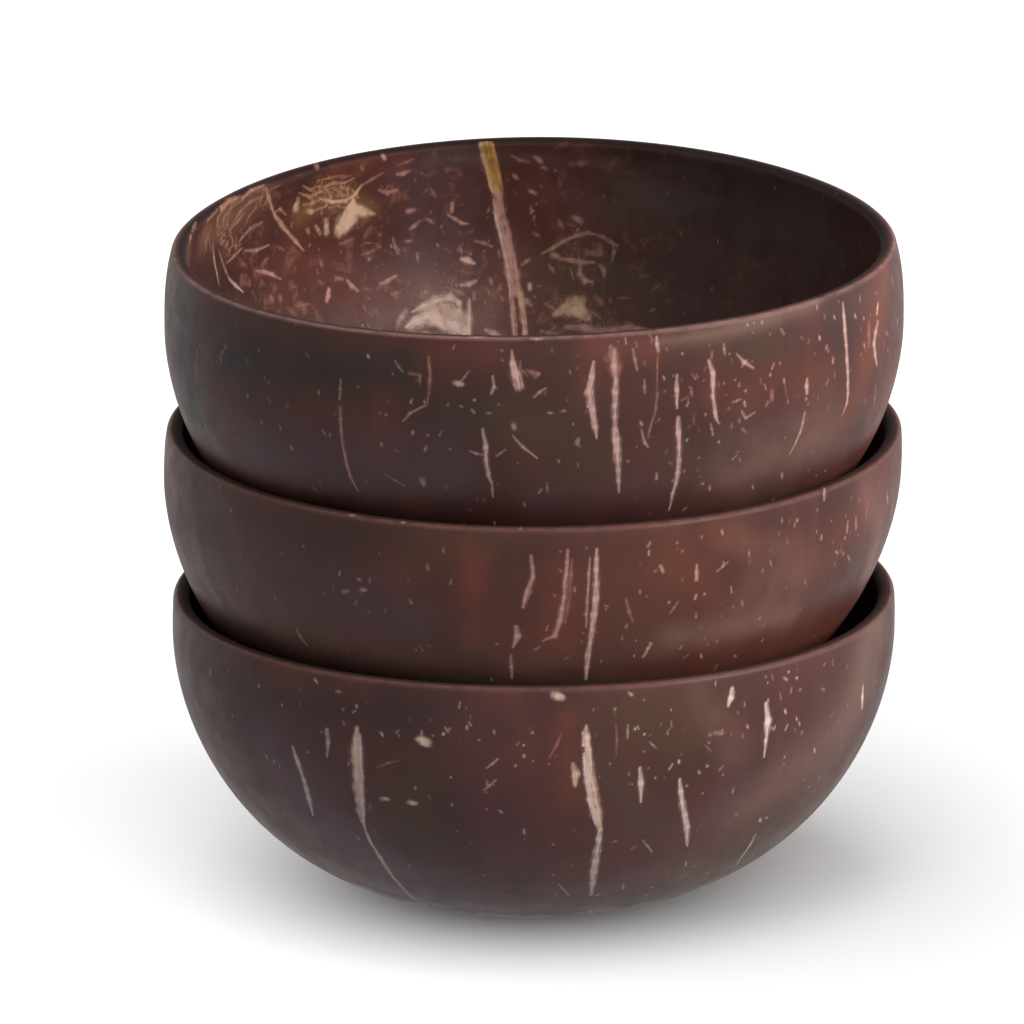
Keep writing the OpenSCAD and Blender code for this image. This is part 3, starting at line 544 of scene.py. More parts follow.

# Broad stains under the marks, some of them painted shade, sheen and reflection, read the same way: stain, cover, and
# x, y and width in pixels.
# A stain named curls is a mat of loose fibre, and one named flecks has their count in place of the
# cover: both are finer than can be drawn one by one
topStains = [
    ("shadeAndSoot", 0.95, [(180, 310, 90), (190, 400, 90)]), ("garnetAndShade", 0.4, [(400, 370, 90), (520, 375, 90)]),
    ("shadeAndSoot", 0.85, [(230, 360, 90), (330, 370, 90), (400, 365, 70)]),
    ("shadeAndSoot", 0.65, [(420, 400, 90), (500, 410, 90)]), ("shadeAndSoot", 0.6, [(550, 420, 70), (570, 440, 80)]),
    ("plum", 0.75, [(260, 450, 90), (340, 460, 100), (440, 470, 100)]),
    ("plum", 0.45, [(540, 500, 70), (660, 490, 70)]), ("olive", 0.6, [(520, 420, 90), (590, 460, 90)]),
    ("russet", 0.3, [(440, 360, 50), (500, 355, 50)]), ("shadeAndSoot", 0.3, [(440, 372, 60), (520, 372, 60)]),
    ("russet", 0.45, [(600, 345, 50), (650, 350, 50)]), ("duskAndShade", 0.35, [(690, 460, 100), (740, 420, 70)]),
    ("russet", 0.3, [(600, 400, 70), (670, 405, 70), (760, 385, 90), (840, 370, 60)]),
    ("shadeAndSoot", 0.45, [(600, 410, 70), (680, 410, 70)]), ("olive", 0.4, [(700, 340, 50), (790, 350, 50)]),
    ("paintedSheen", 0.5, [(740, 470, 110), (820, 430, 110)]),
    ("russet", 0.6, [(885, 270, 50), (875, 330, 80), (855, 400, 60)]),
    ("shadeAndSoot", 0.4, [(845, 330, 70), (845, 380, 60)]),
    ("paintedSheen", 0.6, [(664, 341, 16), (720, 331, 22), (780, 314, 26), (815, 300, 22)]),
    ("flecks", 70, [(700, 380, 120), (830, 370, 120)]), ("flecks", 24, [(870, 290, 60), (860, 390, 60)]),
    ("flecks", 22, [(610, 400, 90), (680, 420, 90)]), ("flecks", 18, [(400, 390, 90), (510, 390, 90)]),
    ("flecks", 10, [(210, 370, 60), (300, 430, 90)]), ("flecks", 14, [(500, 470, 60), (800, 475, 60)]),
]
topInsideStains = [
    ("curls", 1, [(232, 206, 44), (218, 232, 40), (240, 250, 30)]), ("curls", 0.9, [(262, 196, 36), (254, 222, 36)]),
    ("curls", 0.95, [(306, 190, 26), (330, 192, 44), (350, 190, 34)]),
    ("curls", 0.5, [(560, 245, 40), (592, 258, 50)]), ("curls", 0.6, [(560, 306, 40), (600, 322, 40)]),
    ("curls", 0.4, [(430, 300, 60), (455, 280, 50)]),
    ("goldHaze", 0.75, [(300, 214, 34), (325, 196, 44), (352, 196, 34), (372, 210, 24)]),
    ("umber", 0.8, [(205, 235, 50), (255, 200, 50)]), ("umber", 0.7, [(190, 240, 24), (188, 262, 24)]),
    ("plum", 0.7, [(400, 170, 70), (450, 170, 80), (440, 240, 90)]), ("plum", 0.45, [(420, 200, 60), (410, 280, 60)]),
    ("greyReflection", 0.7, [(430, 160, 26), (520, 156, 24), (600, 160, 30), (700, 170, 30)]),
    ("russet", 0.3, [(290, 260, 80), (330, 260, 70)]), ("russet", 0.5, [(340, 165, 40), (400, 160, 40)]),
    ("paintedSheen", 0.25, [(430, 290, 50), (450, 292, 50)]), ("russet", 0.3, [(560, 165, 130), (570, 230, 130)]),
    ("heather", 0.35, [(580, 170, 110), (590, 240, 90)]), ("olive", 0.5, [(560, 270, 80), (590, 290, 80)]),
    ("duskAndShade", 0.5, [(620, 260, 60), (650, 290, 60)]),
    ("greyReflection", 1.0, [(640, 200, 110), (740, 220, 180), (820, 240, 150)]),
    ("greyReflection", 0.9, [(700, 160, 60), (860, 200, 60)]),
    ("shadeAndSoot", 0.5, [(185, 250, 20), (200, 270, 30), (260, 300, 30)]), ("shadeAndSoot", 0.4, [(300, 320, 26), (390, 330, 26)]),
    # The deep garnet low inside the front paints shade over the hollow there, holding down its highlight; elsewhere
    # it is a tone
    ("garnetAndShade", 0.95, [(340, 296, 66), (388, 303, 70)]), ("paintedSheen", 0.35, [(490, 300, 40), (484, 325, 40)]),
    ("flecks", 26, [(380, 190, 90), (450, 230, 110)]), ("flecks", 18, [(300, 270, 80), (390, 280, 80)]),
    ("flecks", 8, [(545, 180, 60), (560, 230, 60)]), ("flecks", 16, [(570, 260, 90), (600, 300, 90)]),
    ("flecks", 14, [(470, 240, 60), (480, 310, 60)]),
]
middleStains = [
    ("shadeAndSoot", 0.6, [(190, 470, 80), (205, 540, 90)]),
    ("plum", 0.6, [(240, 560, 110), (330, 590, 120), (410, 620, 90)]),
    ("shadeAndSoot", 0.35, [(240, 510, 50), (400, 540, 50)]), ("russet", 0.25, [(670, 560, 60), (720, 600, 80)]),
    ("shadeAndSoot", 0.2, [(610, 550, 50), (660, 545, 50)]), ("paintedSheen", 0.45, [(670, 640, 50), (790, 615, 50)]),
    ("paintedSheen", 0.3, [(760, 590, 90), (800, 570, 90)]), ("russet", 0.55, [(472, 555, 50), (474, 640, 40)]),
    ("russet", 0.4, [(560, 580, 60), (556, 640, 60)]), ("russet", 0.4, [(720, 535, 60), (760, 548, 60)]),
    ("russet", 0.3, [(820, 560, 90), (870, 500, 70)]), ("paintedSheen", 0.35, [(865, 490, 50), (880, 530, 40)]),
    ("paintedSheen", 0.2, [(735, 540, 50), (780, 550, 50)]), ("paintedSheen", 0.5, [(872, 555, 40), (862, 590, 50)]),
    ("olive", 0.4, [(500, 535, 50), (420, 550, 50)]), ("olive", 0.3, [(620, 600, 60), (640, 640, 60)]),
    # The dusky grey along the middle bowl's low front paints shade where it tucks into the bowl below; elsewhere it
    # is a tone
    ("duskAndShade", 0.5, [(210, 610, 50), (300, 655, 50), (450, 680, 50), (600, 682, 50)]),
    ("flecks", 34, [(810, 540, 80), (880, 500, 70)]), ("flecks", 22, [(660, 580, 100), (740, 590, 100)]),
    ("flecks", 10, [(320, 590, 70), (380, 580, 60)]), ("flecks", 12, [(540, 620, 90), (620, 600, 90)]),
]
bottomStains = [
    ("shadeAndSoot", 0.5, [(205, 640, 60), (230, 730, 60)]),
    ("shadeAndSoot", 0.5, [(230, 690, 50), (330, 708, 50), (460, 716, 60), (500, 730, 50)]),
    ("plum", 0.8, [(270, 740, 100), (310, 800, 120), (370, 860, 110), (480, 900, 80)]),
    ("heather", 0.6, [(290, 780, 90), (330, 830, 90), (390, 860, 60)]),
    ("wine", 0.6, [(470, 730, 90), (490, 800, 110), (520, 860, 100)]),
    ("olive", 0.55, [(420, 770, 60), (410, 830, 70)]), ("olive", 0.6, [(620, 720, 70), (690, 740, 90)]),
    ("duskAndShade", 0.5, [(600, 760, 50), (650, 830, 60)]), ("paintedSheen", 0.3, [(700, 695, 50), (735, 750, 60)]),
    ("olive", 0.4, [(640, 700, 40), (760, 690, 40)]),
    ("paintedSheen", 0.5, [(868, 620, 80), (860, 690, 100), (820, 750, 110), (740, 810, 90)]),
    ("plum", 0.5, [(740, 790, 70), (700, 830, 60)]), ("paintedSheen", 0.3, [(690, 870, 80), (600, 895, 70)]),
    ("plum", 0.4, [(640, 880, 100), (560, 900, 80)]), ("russet", 0.4, [(566, 720, 40), (570, 800, 40)]),
    ("flecks", 40, [(730, 710, 90), (830, 690, 80)]), ("flecks", 24, [(620, 740, 80), (690, 760, 100)]),
    ("flecks", 22, [(450, 740, 80), (510, 790, 90)]), ("flecks", 14, [(300, 720, 80), (420, 780, 90)]),
    ("flecks", 10, [(500, 870, 70), (650, 870, 70)]),
]
stainColours = {
    # The near-black grey paints shade on the shaded left sides, in the gaps between the bowls, on the lit front and
    # inside under the near rim; on the hidden sides it is a dark tone laid by chance
    "shadeAndSoot": "#2b2625", "plum": "#574149", "wine": "#58363c", "olive": "#4b3c2b", "duskAndShade": "#4f433d",
    # The light greyish pink is painted sheen and reflection: on the lit right sides, under the rim at the right, low
    # on the bottom bowl and low inside
    "russet": "#7a4436", "paintedSheen": "#84675d", "goldHaze": "#7c5936", "heather": "#6b5058", "umber": "#82604e",
    # The light grey paints a grey reflection haze over the shaded inside, at its right and under its far rim
    "garnetAndShade": "#4f1f18", "greyReflection": "#675854",
}
markTones = ("pale", "tan", "rust", "gold", "cream", "dark", "pink", "white")
markSlots = ("markA", "markB", "markC", "markD")

# How what was read from the photograph goes onto the bowls
reading = {
    "pixel": 0.179,         # millimetres
    "markWidth": 0.136,     # millimetres to each pixel of a mark's width, its soft edge adds the rest
    "leastWidth": 0.6,      # pixels
    "markStep": 13,         # pixels from point to point
    "stainStep": 30,
    "taper": 0.7,           # how wide a line's ends are
    "patchShare": 0.4,      # a mark wider than this share of its length is a patch, with blunt ends
    "patchWidth": 18,
    "floorBelow": 12,       # millimetres under the rim, where the inside may face up
    "nearRim": 4,           # millimetres of the near rim that a ray for the inside passes over
    "farRim": 2,            # millimetres of the far rim that take marks of the inside, and no flecks
}
readFlecks = {
    "step": 12,             # pixels
    "spread": 2.6,          # a band's width to their scatter across it
    "least": 0.06, "more": 1.1, "shortness": 2.6,       # most are short, in millimetres
    "width": (0.14, 0.4),
    "turn": (0.35, 0.8),    # outside and inside
    "weakest": 0.2, "strongest": (0.8, 0.55),
    "tones": ("pale", "pale", "pale", "pink", "rust"),
}

# Marks that the photograph doesn't show, for the backs, undersides and hidden insides, in millimetres
rimGap = 3.5                # they stop this far under the rim
streaks = {
    "area": 886,            # one long streak to this many square millimetres
    "length": (5, 24), "width": (0.35, 1.7), "turn": 0.16, "bend": 0.06,
    "tones": ("pale", "pale", "pink", "tan", "rust"), "strength": (0.5, 0.95),
}
flecks = {
    "area": 75, "length": (0.15, 1.8), "width": (0.15, 0.4), "turn": 0.9,
    "tones": ("pale", "pink", "tan", "rust"), "strength": (0.3, 0.8),
    "seenLength": 0.5, "seenStrength": 0.75,            # shorter and fainter where the camera sees them
}
knots = {
    "count": 5,             # knots of loose fibre inside each bowl
    "fibres": 14, "spread": 4, "length": (4, 11), "width": (0.3, 0.6), "bend": 0.35,
    "strength": (0.35, 0.75), "curls": (0.5, 0.9),
}
patches = {
    "count": 4, "length": (5, 9), "width": (2.5, 5), "turn": 0.8,
    "tones": ("cream", "tan"), "strength": (0.4, 0.8),
}
hiddenStains = {
    "count": 26, "width": (9, 24), "turn": 0.7,
    "tones": ("shadeAndSoot", "plum", "olive", "russet", "russet"), "strength": (0.3, 0.6),
}

# Which runs of marks a face of the mesh keeps, in millimetres
keeping = {
    "shortest": 0.02,
    "search": 1.6, "searchWidths": 0.75,        # faces this far from a run are looked at
    "reach": 1.25, "reachWidths": 0.45,         # and those this near its edge may keep it
    "facing": 0.4,
    "away": 3, "width": 0.6, "across": 0.1,     # what counts against a run where there are too many
}


class Surface:
    # A bowl's skin in millimetres, for laying marks on it
    def __init__(self, mesh, bowl):
        self.mesh = mesh
        self.middle = Vector((bowl["shift"] + bowl["lean"] / 2, 0))
        self.co, self.up = self.read(mesh.vertices, "co") / mm, self.read(mesh.vertices, "normal")
        self.centres, self.normals = self.read(mesh.polygons, "center") / mm, self.read(mesh.polygons, "normal")
        self.areas = self.read(mesh.polygons, "area", 1)[:, 0] / mm ** 2
        self.top = float(self.co[:, 2].max())
        self.tree = BVHTree.FromPolygons(self.co.tolist(), [tuple(p.vertices) for p in mesh.polygons])
        self.faces = KDTree(len(self.centres))
        for index, centre in enumerate(self.centres):
            self.faces.insert(centre, index)
        self.faces.balance()

    def read(self, items, name, width=3):
        values = np.empty(len(items) * width, np.float32)
        items.foreach_get(name, values)
        return values.reshape(-1, width).astype(float)

    def nearest(self, spot):
        # The nearest place on the skin, and the way it faces
        return self.tree.find_nearest(spot)[:2]

    def across(self, spot):
        # Level, and round the bowl
        return Vector((-spot.y, spot.x - self.middle.x, 0)).normalized()

    def below(self, camera, x, y, inside):
        # Where a pixel's ray meets the outside, or the inside
        start, ray = pixelRay(camera, x, y)
        start = start / mm
        for _ in range(4):
            spot, normal, _, _ = self.tree.ray_cast(start, ray)
            if spot is None:
                return None
            # The inside faces the middle, or up from the floor; a mark also runs out over the far rim
            low, up = spot.z < self.top - reading["floorBelow"], normal.z > 0.5
            inward = (spot.xy - self.middle).dot(normal.xy) < 0 or (up and low)
            nearRim = inside and spot.y < 0 and spot.z > self.top - reading["nearRim"]
            farRim = inside and spot.y > 0 and up and spot.z > self.top - reading["farRim"]
            if normal.dot(ray) < 0 and (inward == inside or farRim) and not nearRim:
                return spot
            start = spot + ray * 0.05
        return None


def softLine(points, spacing):
    # A smooth curve through given points of x, y and width
    p = np.array(points, float)
    p = np.vstack([2 * p[0] - p[1], p, 2 * p[-1] - p[-2]])
    line = []
    for a, b, c, d in zip(p, p[1:], p[2:], p[3:]):
        steps = max(2 if len(points) == 2 else 1, round(math.hypot(c[0] - b[0], c[1] - b[1]) / spacing))
        for t in np.arange(steps) / steps:
            line.append(b + (c - a) * t / 2 + (a - 2.5 * b + 2 * c - d / 2) * t ** 2
                        + (1.5 * b - a / 2 - 1.5 * c + d / 2) * t ** 3)
    return line + [p[-2]]


def photoMarks(surface, camera, marks, inside):
    # Follows each mark's pixels over the bowl
    laid = []
    for tone, strength, points in marks:
        line = softLine(points, reading["markStep"])
        width = max(w for _, _, w in line)
        length = math.hypot(line[-1][0] - line[0][0], line[-1][1] - line[0][1])
        patch = width > reading["patchShare"] * length or width > reading["patchWidth"]
        end = 1 if patch else reading["taper"]
        spots = []
        for (x, y, w), taper in zip(line, [end] + [1] * (len(line) - 2) + [end]):
            spot = surface.below(camera, x, y, inside)
            if spot is not None:
                spots.append((spot, max(reading["leastWidth"], w) * taper * reading["markWidth"]))
        if len(spots) > 1:
            laid.append((markTones.index(tone) + min(0.99, strength), patch, spots))
    return laid


def photoFlecks(surface, camera, count, points, inside, chance):
    # As many small flecks as the photograph has along a band, too many to read one by one
    kind, laid = readFlecks, []
    for _ in range(count):
        x, y, w = chance.choice(softLine(points, kind["step"]))
        spread = w / kind["spread"]
        spot = surface.below(camera, x + chance.gauss(0, spread), y + chance.gauss(0, spread), inside)
        if spot is None or spot.z > surface.top - reading["farRim"]:
            continue
        way = Vector((0, 0, 1)) + surface.across(spot) * chance.gauss(0, kind["turn"][inside])
        length = kind["least"] + kind["more"] * chance.random() ** kind["shortness"]
        width = chance.uniform(*kind["width"])
        strength = kind["weakest"], kind["strongest"][inside]
        tone = markTones.index(chance.choice(kind["tones"])) + chance.uniform(*strength)
        end = surface.nearest(spot + way.normalized() * length)[0]
        laid.append((tone, False, [(spot, width), (end, width * 0.8)]))
    return laid


def walk(surface, spot, way, length, width, bend, chance):
    # A mark of a given length that keeps to the surface, and stops short of the rim
    steps = max(2, int(length / 2))
    spots, here, ahead = [], spot, way
    for k in range(steps + 1):
        swell = math.sin(math.pi * (0.08 + 0.84 * k / steps)) ** 0.8     # thin at both ends
        spots.append((here, width * swell * chance.uniform(0.8, 1.1)))
        ahead = (ahead + bend * ahead.cross(surface.nearest(here)[1])).normalized()
        near = surface.nearest(here + ahead * length / steps)[0]
        if near.z > surface.top - rimGap:
            break
        ahead, here = (near - here).normalized(), near
    return spots


def hiddenSkin(surface, camera, bowl, chance):
    # Marks and stains by chance, all but the smallest only where the photograph's camera can't see
    eye = camera.matrix_world.translation / mm
    total = float(surface.areas.sum())
    share = np.cumsum(surface.areas) / total
    laid, stains = [], []

    def inView(spot, normal):
        toEye = (eye - spot).normalized()
        return normal.dot(toEye) > 0.02 and surface.tree.ray_cast(spot + normal * 0.3, toEye)[0] is None

    def hiddenRun(spots):
        # A mark as far as the first of its points that the camera sees
        for count, (spot, _) in enumerate(spots):
            if inView(spot, surface.nearest(spot)[1]):
                return spots[:count]
        return spots

    def pick(hidden=True, inside=None):
        while True:
            face = int(np.searchsorted(share, chance.random()))
            spot, normal = Vector(surface.centres[face]), Vector(surface.normals[face])
            seen = inView(spot, normal)
            inward = (spot.xy - surface.middle).dot(normal.xy) < 0
            if spot.z < surface.top - rimGap and not (hidden and seen) and inside in (None, inward):
                across = surface.across(spot)
                return spot, across, normal.cross(across).normalized(), seen

    def toneOf(kind):
        return markTones.index(chance.choice(kind["tones"])) + chance.uniform(*kind["strength"])

    low, high = streaks["width"]
    for _ in range(int(total / streaks["area"])):
        spot, across, down, _ = pick()
        way = (down + across * chance.gauss(0, streaks["turn"])).normalized() * chance.choice((-1, 1))
        length = chance.uniform(*streaks["length"]) * chance.uniform(0.5, 1)
        width = low + (high - low) * chance.random() ** 2
        spots = hiddenRun(walk(surface, spot, way, length, width, chance.gauss(0, streaks["bend"]), chance))
        laid.append((toneOf(streaks), False, spots))
    for _ in range(int(total / flecks["area"])):
        spot, across, down, seen = pick(hidden=False)
        way = (down + across * chance.gauss(0, flecks["turn"])).normalized()
        length = chance.uniform(*flecks["length"]) * (flecks["seenLength"] if seen else 1)
        width = chance.uniform(*flecks["width"])
        strength = chance.uniform(*flecks["strength"]) * (flecks["seenStrength"] if seen else 1)
        spots = [(spot, width), (surface.nearest(spot + way * length)[0], width * 0.8)]
        laid.append((markTones.index(chance.choice(flecks["tones"])) + strength, False, spots))
    for _ in range(knots["count"]):
        spot, across, down, _ = pick(inside=True)
        stains.append(("curls", chance.uniform(*knots["curls"]), [(spot, 6), (spot + across * 3, 8)]))
        for _ in range(knots["fibres"]):
            start, up = surface.nearest(spot + across * chance.gauss(0, knots["spread"])
                                        + down * chance.gauss(0, knots["spread"]))
            if up.cross(across).dot(down) < 0.5:
                continue    # over the rim, or on the wall's other face
            way = (across * chance.gauss(0, 1) + down * chance.gauss(0, 1)).normalized()
            fibre = chance.uniform(*knots["length"]), chance.uniform(*knots["width"]), chance.gauss(0, knots["bend"])
            spots = hiddenRun(walk(surface, start, way, *fibre, chance))
            laid.append((markTones.index("tan") + chance.uniform(*knots["strength"]), False, spots))
    for _ in range(patches["count"]):
        spot, across, down, _ = pick(inside=True)
        way = (down + across * chance.gauss(0, patches["turn"])).normalized()
        size = chance.uniform(*patches["length"]), chance.uniform(*patches["width"])
        spots = hiddenRun(walk(surface, spot, way, *size, 0, chance))
        laid.append((toneOf(patches), True, spots))
    for _ in range(hiddenStains["count"]):
        spot, across, down, _ = pick()
        way = (down + across * chance.gauss(0, hiddenStains["turn"])).normalized()
        width = chance.uniform(*hiddenStains["width"])
        stain, cover = chance.choice(hiddenStains["tones"]), chance.uniform(*hiddenStains["strength"])
        stains.append((stain, cover, [(spot, width), (surface.nearest(spot + way * width)[0], width)]))
    return laid, stains


def layStainsAndPaintedLight(surface, stains):
    # One soft colour with its cover for each point of the mesh, and how thick the curls lie there
    count = len(surface.co)
    colour, cover, curls = np.zeros((count, 3)), np.zeros(count), np.zeros(count)
    for stain, strength, spots in stains:
        depth = np.zeros(count)
        for (a, wa), (b, wb) in zip(spots, spots[1:]):
            offset, way = surface.co - np.array(a), np.array(b - a)
            part = np.clip(offset @ way / max(way @ way, 1e-6), 0, 1)
            away = np.linalg.norm(offset - part[:, None] * way, axis=1) / (wa + (wb - wa) * part)
            # It fades out past its width, and stays off the wall's other face
            facing = np.clip(surface.up @ np.array(surface.nearest((a + b) / 2)[1]) * 3, 0, 1)
            depth = np.maximum(depth, np.exp(-1.9 * away ** 2) * facing)
        if stain == "curls":
            curls = np.maximum(curls, strength * depth)
            continue
        depth *= strength
        tint = np.array(linear(stainColours[stain])[:3])
        colour = colour * (1 - depth[:, None]) + tint * depth[:, None]
        cover = 1 - (1 - cover) * (1 - depth)
    packed = np.concatenate([colour / np.maximum(cover, 1e-4)[:, None], cover[:, None]], axis=1)
    make = surface.mesh.attributes.new
    make("stain", "FLOAT_COLOR", "POINT").data.foreach_set("color", packed.astype(np.float32).ravel())
    make("curls", "FLOAT", "POINT").data.foreach_set("value", curls.astype(np.float32))


def layMarks(surface, laid):
    # Each face keeps the straight runs of its nearest marks, narrow ones on top. At its corners stand
    # the distance across and the way along, and beside them the run's length, tone, half widths, start
    # and whether it is a patch, in millimetres, so that a mark is drawn sharper than the mesh
    mesh, keep = surface.mesh, keeping
    faces = len(mesh.polygons)
    runs, rank = [], np.full((faces, len(markSlots)), 1e9)
    chosen = np.full((faces, len(markSlots)), -1)
    for tone, patch, spots in laid:
        start = 0.0
        for (a, wa), (b, wb) in zip(spots, spots[1:]):
            length = (b - a).length
            if length < keep["shortest"]:
                continue
            normal = surface.nearest((a + b) / 2)[1]
            way = (b - a) / length
            side = normal.cross(way).normalized()
            runs.append((np.array(a), np.array(way), np.array(side), length, wa / 2, wb / 2, start, tone, patch))
            start += length
            reach = length / 2 + keep["searchWidths"] * max(wa, wb) + keep["search"]
            close = np.array([found[1] for found in surface.faces.find_range((a + b) / 2, reach)], int)
            close = close[surface.normals[close] @ np.array(normal) > keep["facing"]]
            offset = surface.centres[close] - np.array(a)
            along, across = offset @ np.array(way), offset @ np.array(side)
            part = np.clip(along, 0, length)
            half = (wa + (wb - wa) * part / length) / 2
            away = np.hypot(across, along - part) - half
            near = away < keep["reach"] + keep["reachWidths"] * half
            order = keep["away"] * np.clip(away, 0, None) + keep["width"] * half + keep["across"] * np.abs(across)
            close, order = close[near], order[near]
            carried = np.full(len(close), len(runs) - 1)
            for slot in range(len(markSlots)):
                better = order < rank[close, slot]
                rows = close[better]
                oldOrder, oldRun = rank[rows, slot].copy(), chosen[rows, slot].copy()
                rank[rows, slot], chosen[rows, slot] = order[better], carried[better]
                order[better], carried[better] = oldOrder, oldRun
    cornerVertex = np.empty(len(mesh.loops), np.int32)
    mesh.loops.foreach_get("vertex_index", cornerVertex)
    totals = np.empty(faces, np.int32)
    mesh.polygons.foreach_get("loop_total", totals)
    faceOf = np.repeat(np.arange(faces), totals)
    where = surface.co[cornerVertex]
    origin, way, side, length, halfA, halfB, start, tone, patch = (np.array(column) for column in zip(*runs))
    for slot, name in enumerate(markSlots):
        run = chosen[faceOf, slot]
        held = run >= 0
        r = run[held]
        offset = where[held] - origin[r]
        across, along = (offset * side[r]).sum(axis=1), (offset * way[r]).sum(axis=1)
        place = np.tile(np.array([50, 50, 1, 0], np.float32), (len(mesh.loops), 1))     # far from any mark
        place[held] = np.stack([across, along, length[r], tone[r]], axis=1)
        widths = np.zeros((len(mesh.loops), 4), np.float32)
        widths[held] = np.stack([halfA[r], halfB[r], start[r], patch[r]], axis=1)
        for title, values in ((name, place), (name + "Width", widths)):
            mesh.attributes.new(title, "FLOAT_COLOR", "CORNER").data.foreach_set("color", values.ravel())
    print("laid", len(runs), "runs on", mesh.name)


# Coconut shell, sanded and oiled: dark brown clouds with hair-fine fibres running pole to pole,
# pale bundles where the polish cuts into them, and a soft satin gloss. Sizes are in millimetres
coconutShell = {
    "cloudSize": 30, "bandSize": 10, "mottleSize": 6, "dappleSize": 3.2, "roughSize": 2.4, "fineSize": 0.7,
    "fibreWidth": 0.5, "fibreLength": 12, "strandWidth": 0.34, "fleckSize": 2.4, "curlSize": 4.6,
    "pale": "#d0ada5", "tan": "#b48a75", "rust": "#a27468", "gold": "#cb9a56", "cream": "#d0b096",
    "dark": "#22130f", "pink": "#bf938a", "white": "#ceb6ab", "dapple": "#8f5f52", "edge": "#6c4a44",
    # The sawn rim's land and inner edge are painted nearly black: painted shade
    "rimLandShade": "#0e0908", "sandedFoot": "#7d5a49",
    "roughness": 0.46, "ior": 1.5, "specular": 0.215, "insideShade": 0.84,
    "bandCover": 0.55, "mottleCover": 0.4, "dappleCover": 0.5, "rimShadeCover": 0.9, "footCover": 0.7,
    "curlCover": 0.9, "haloCover": 0.22,
}


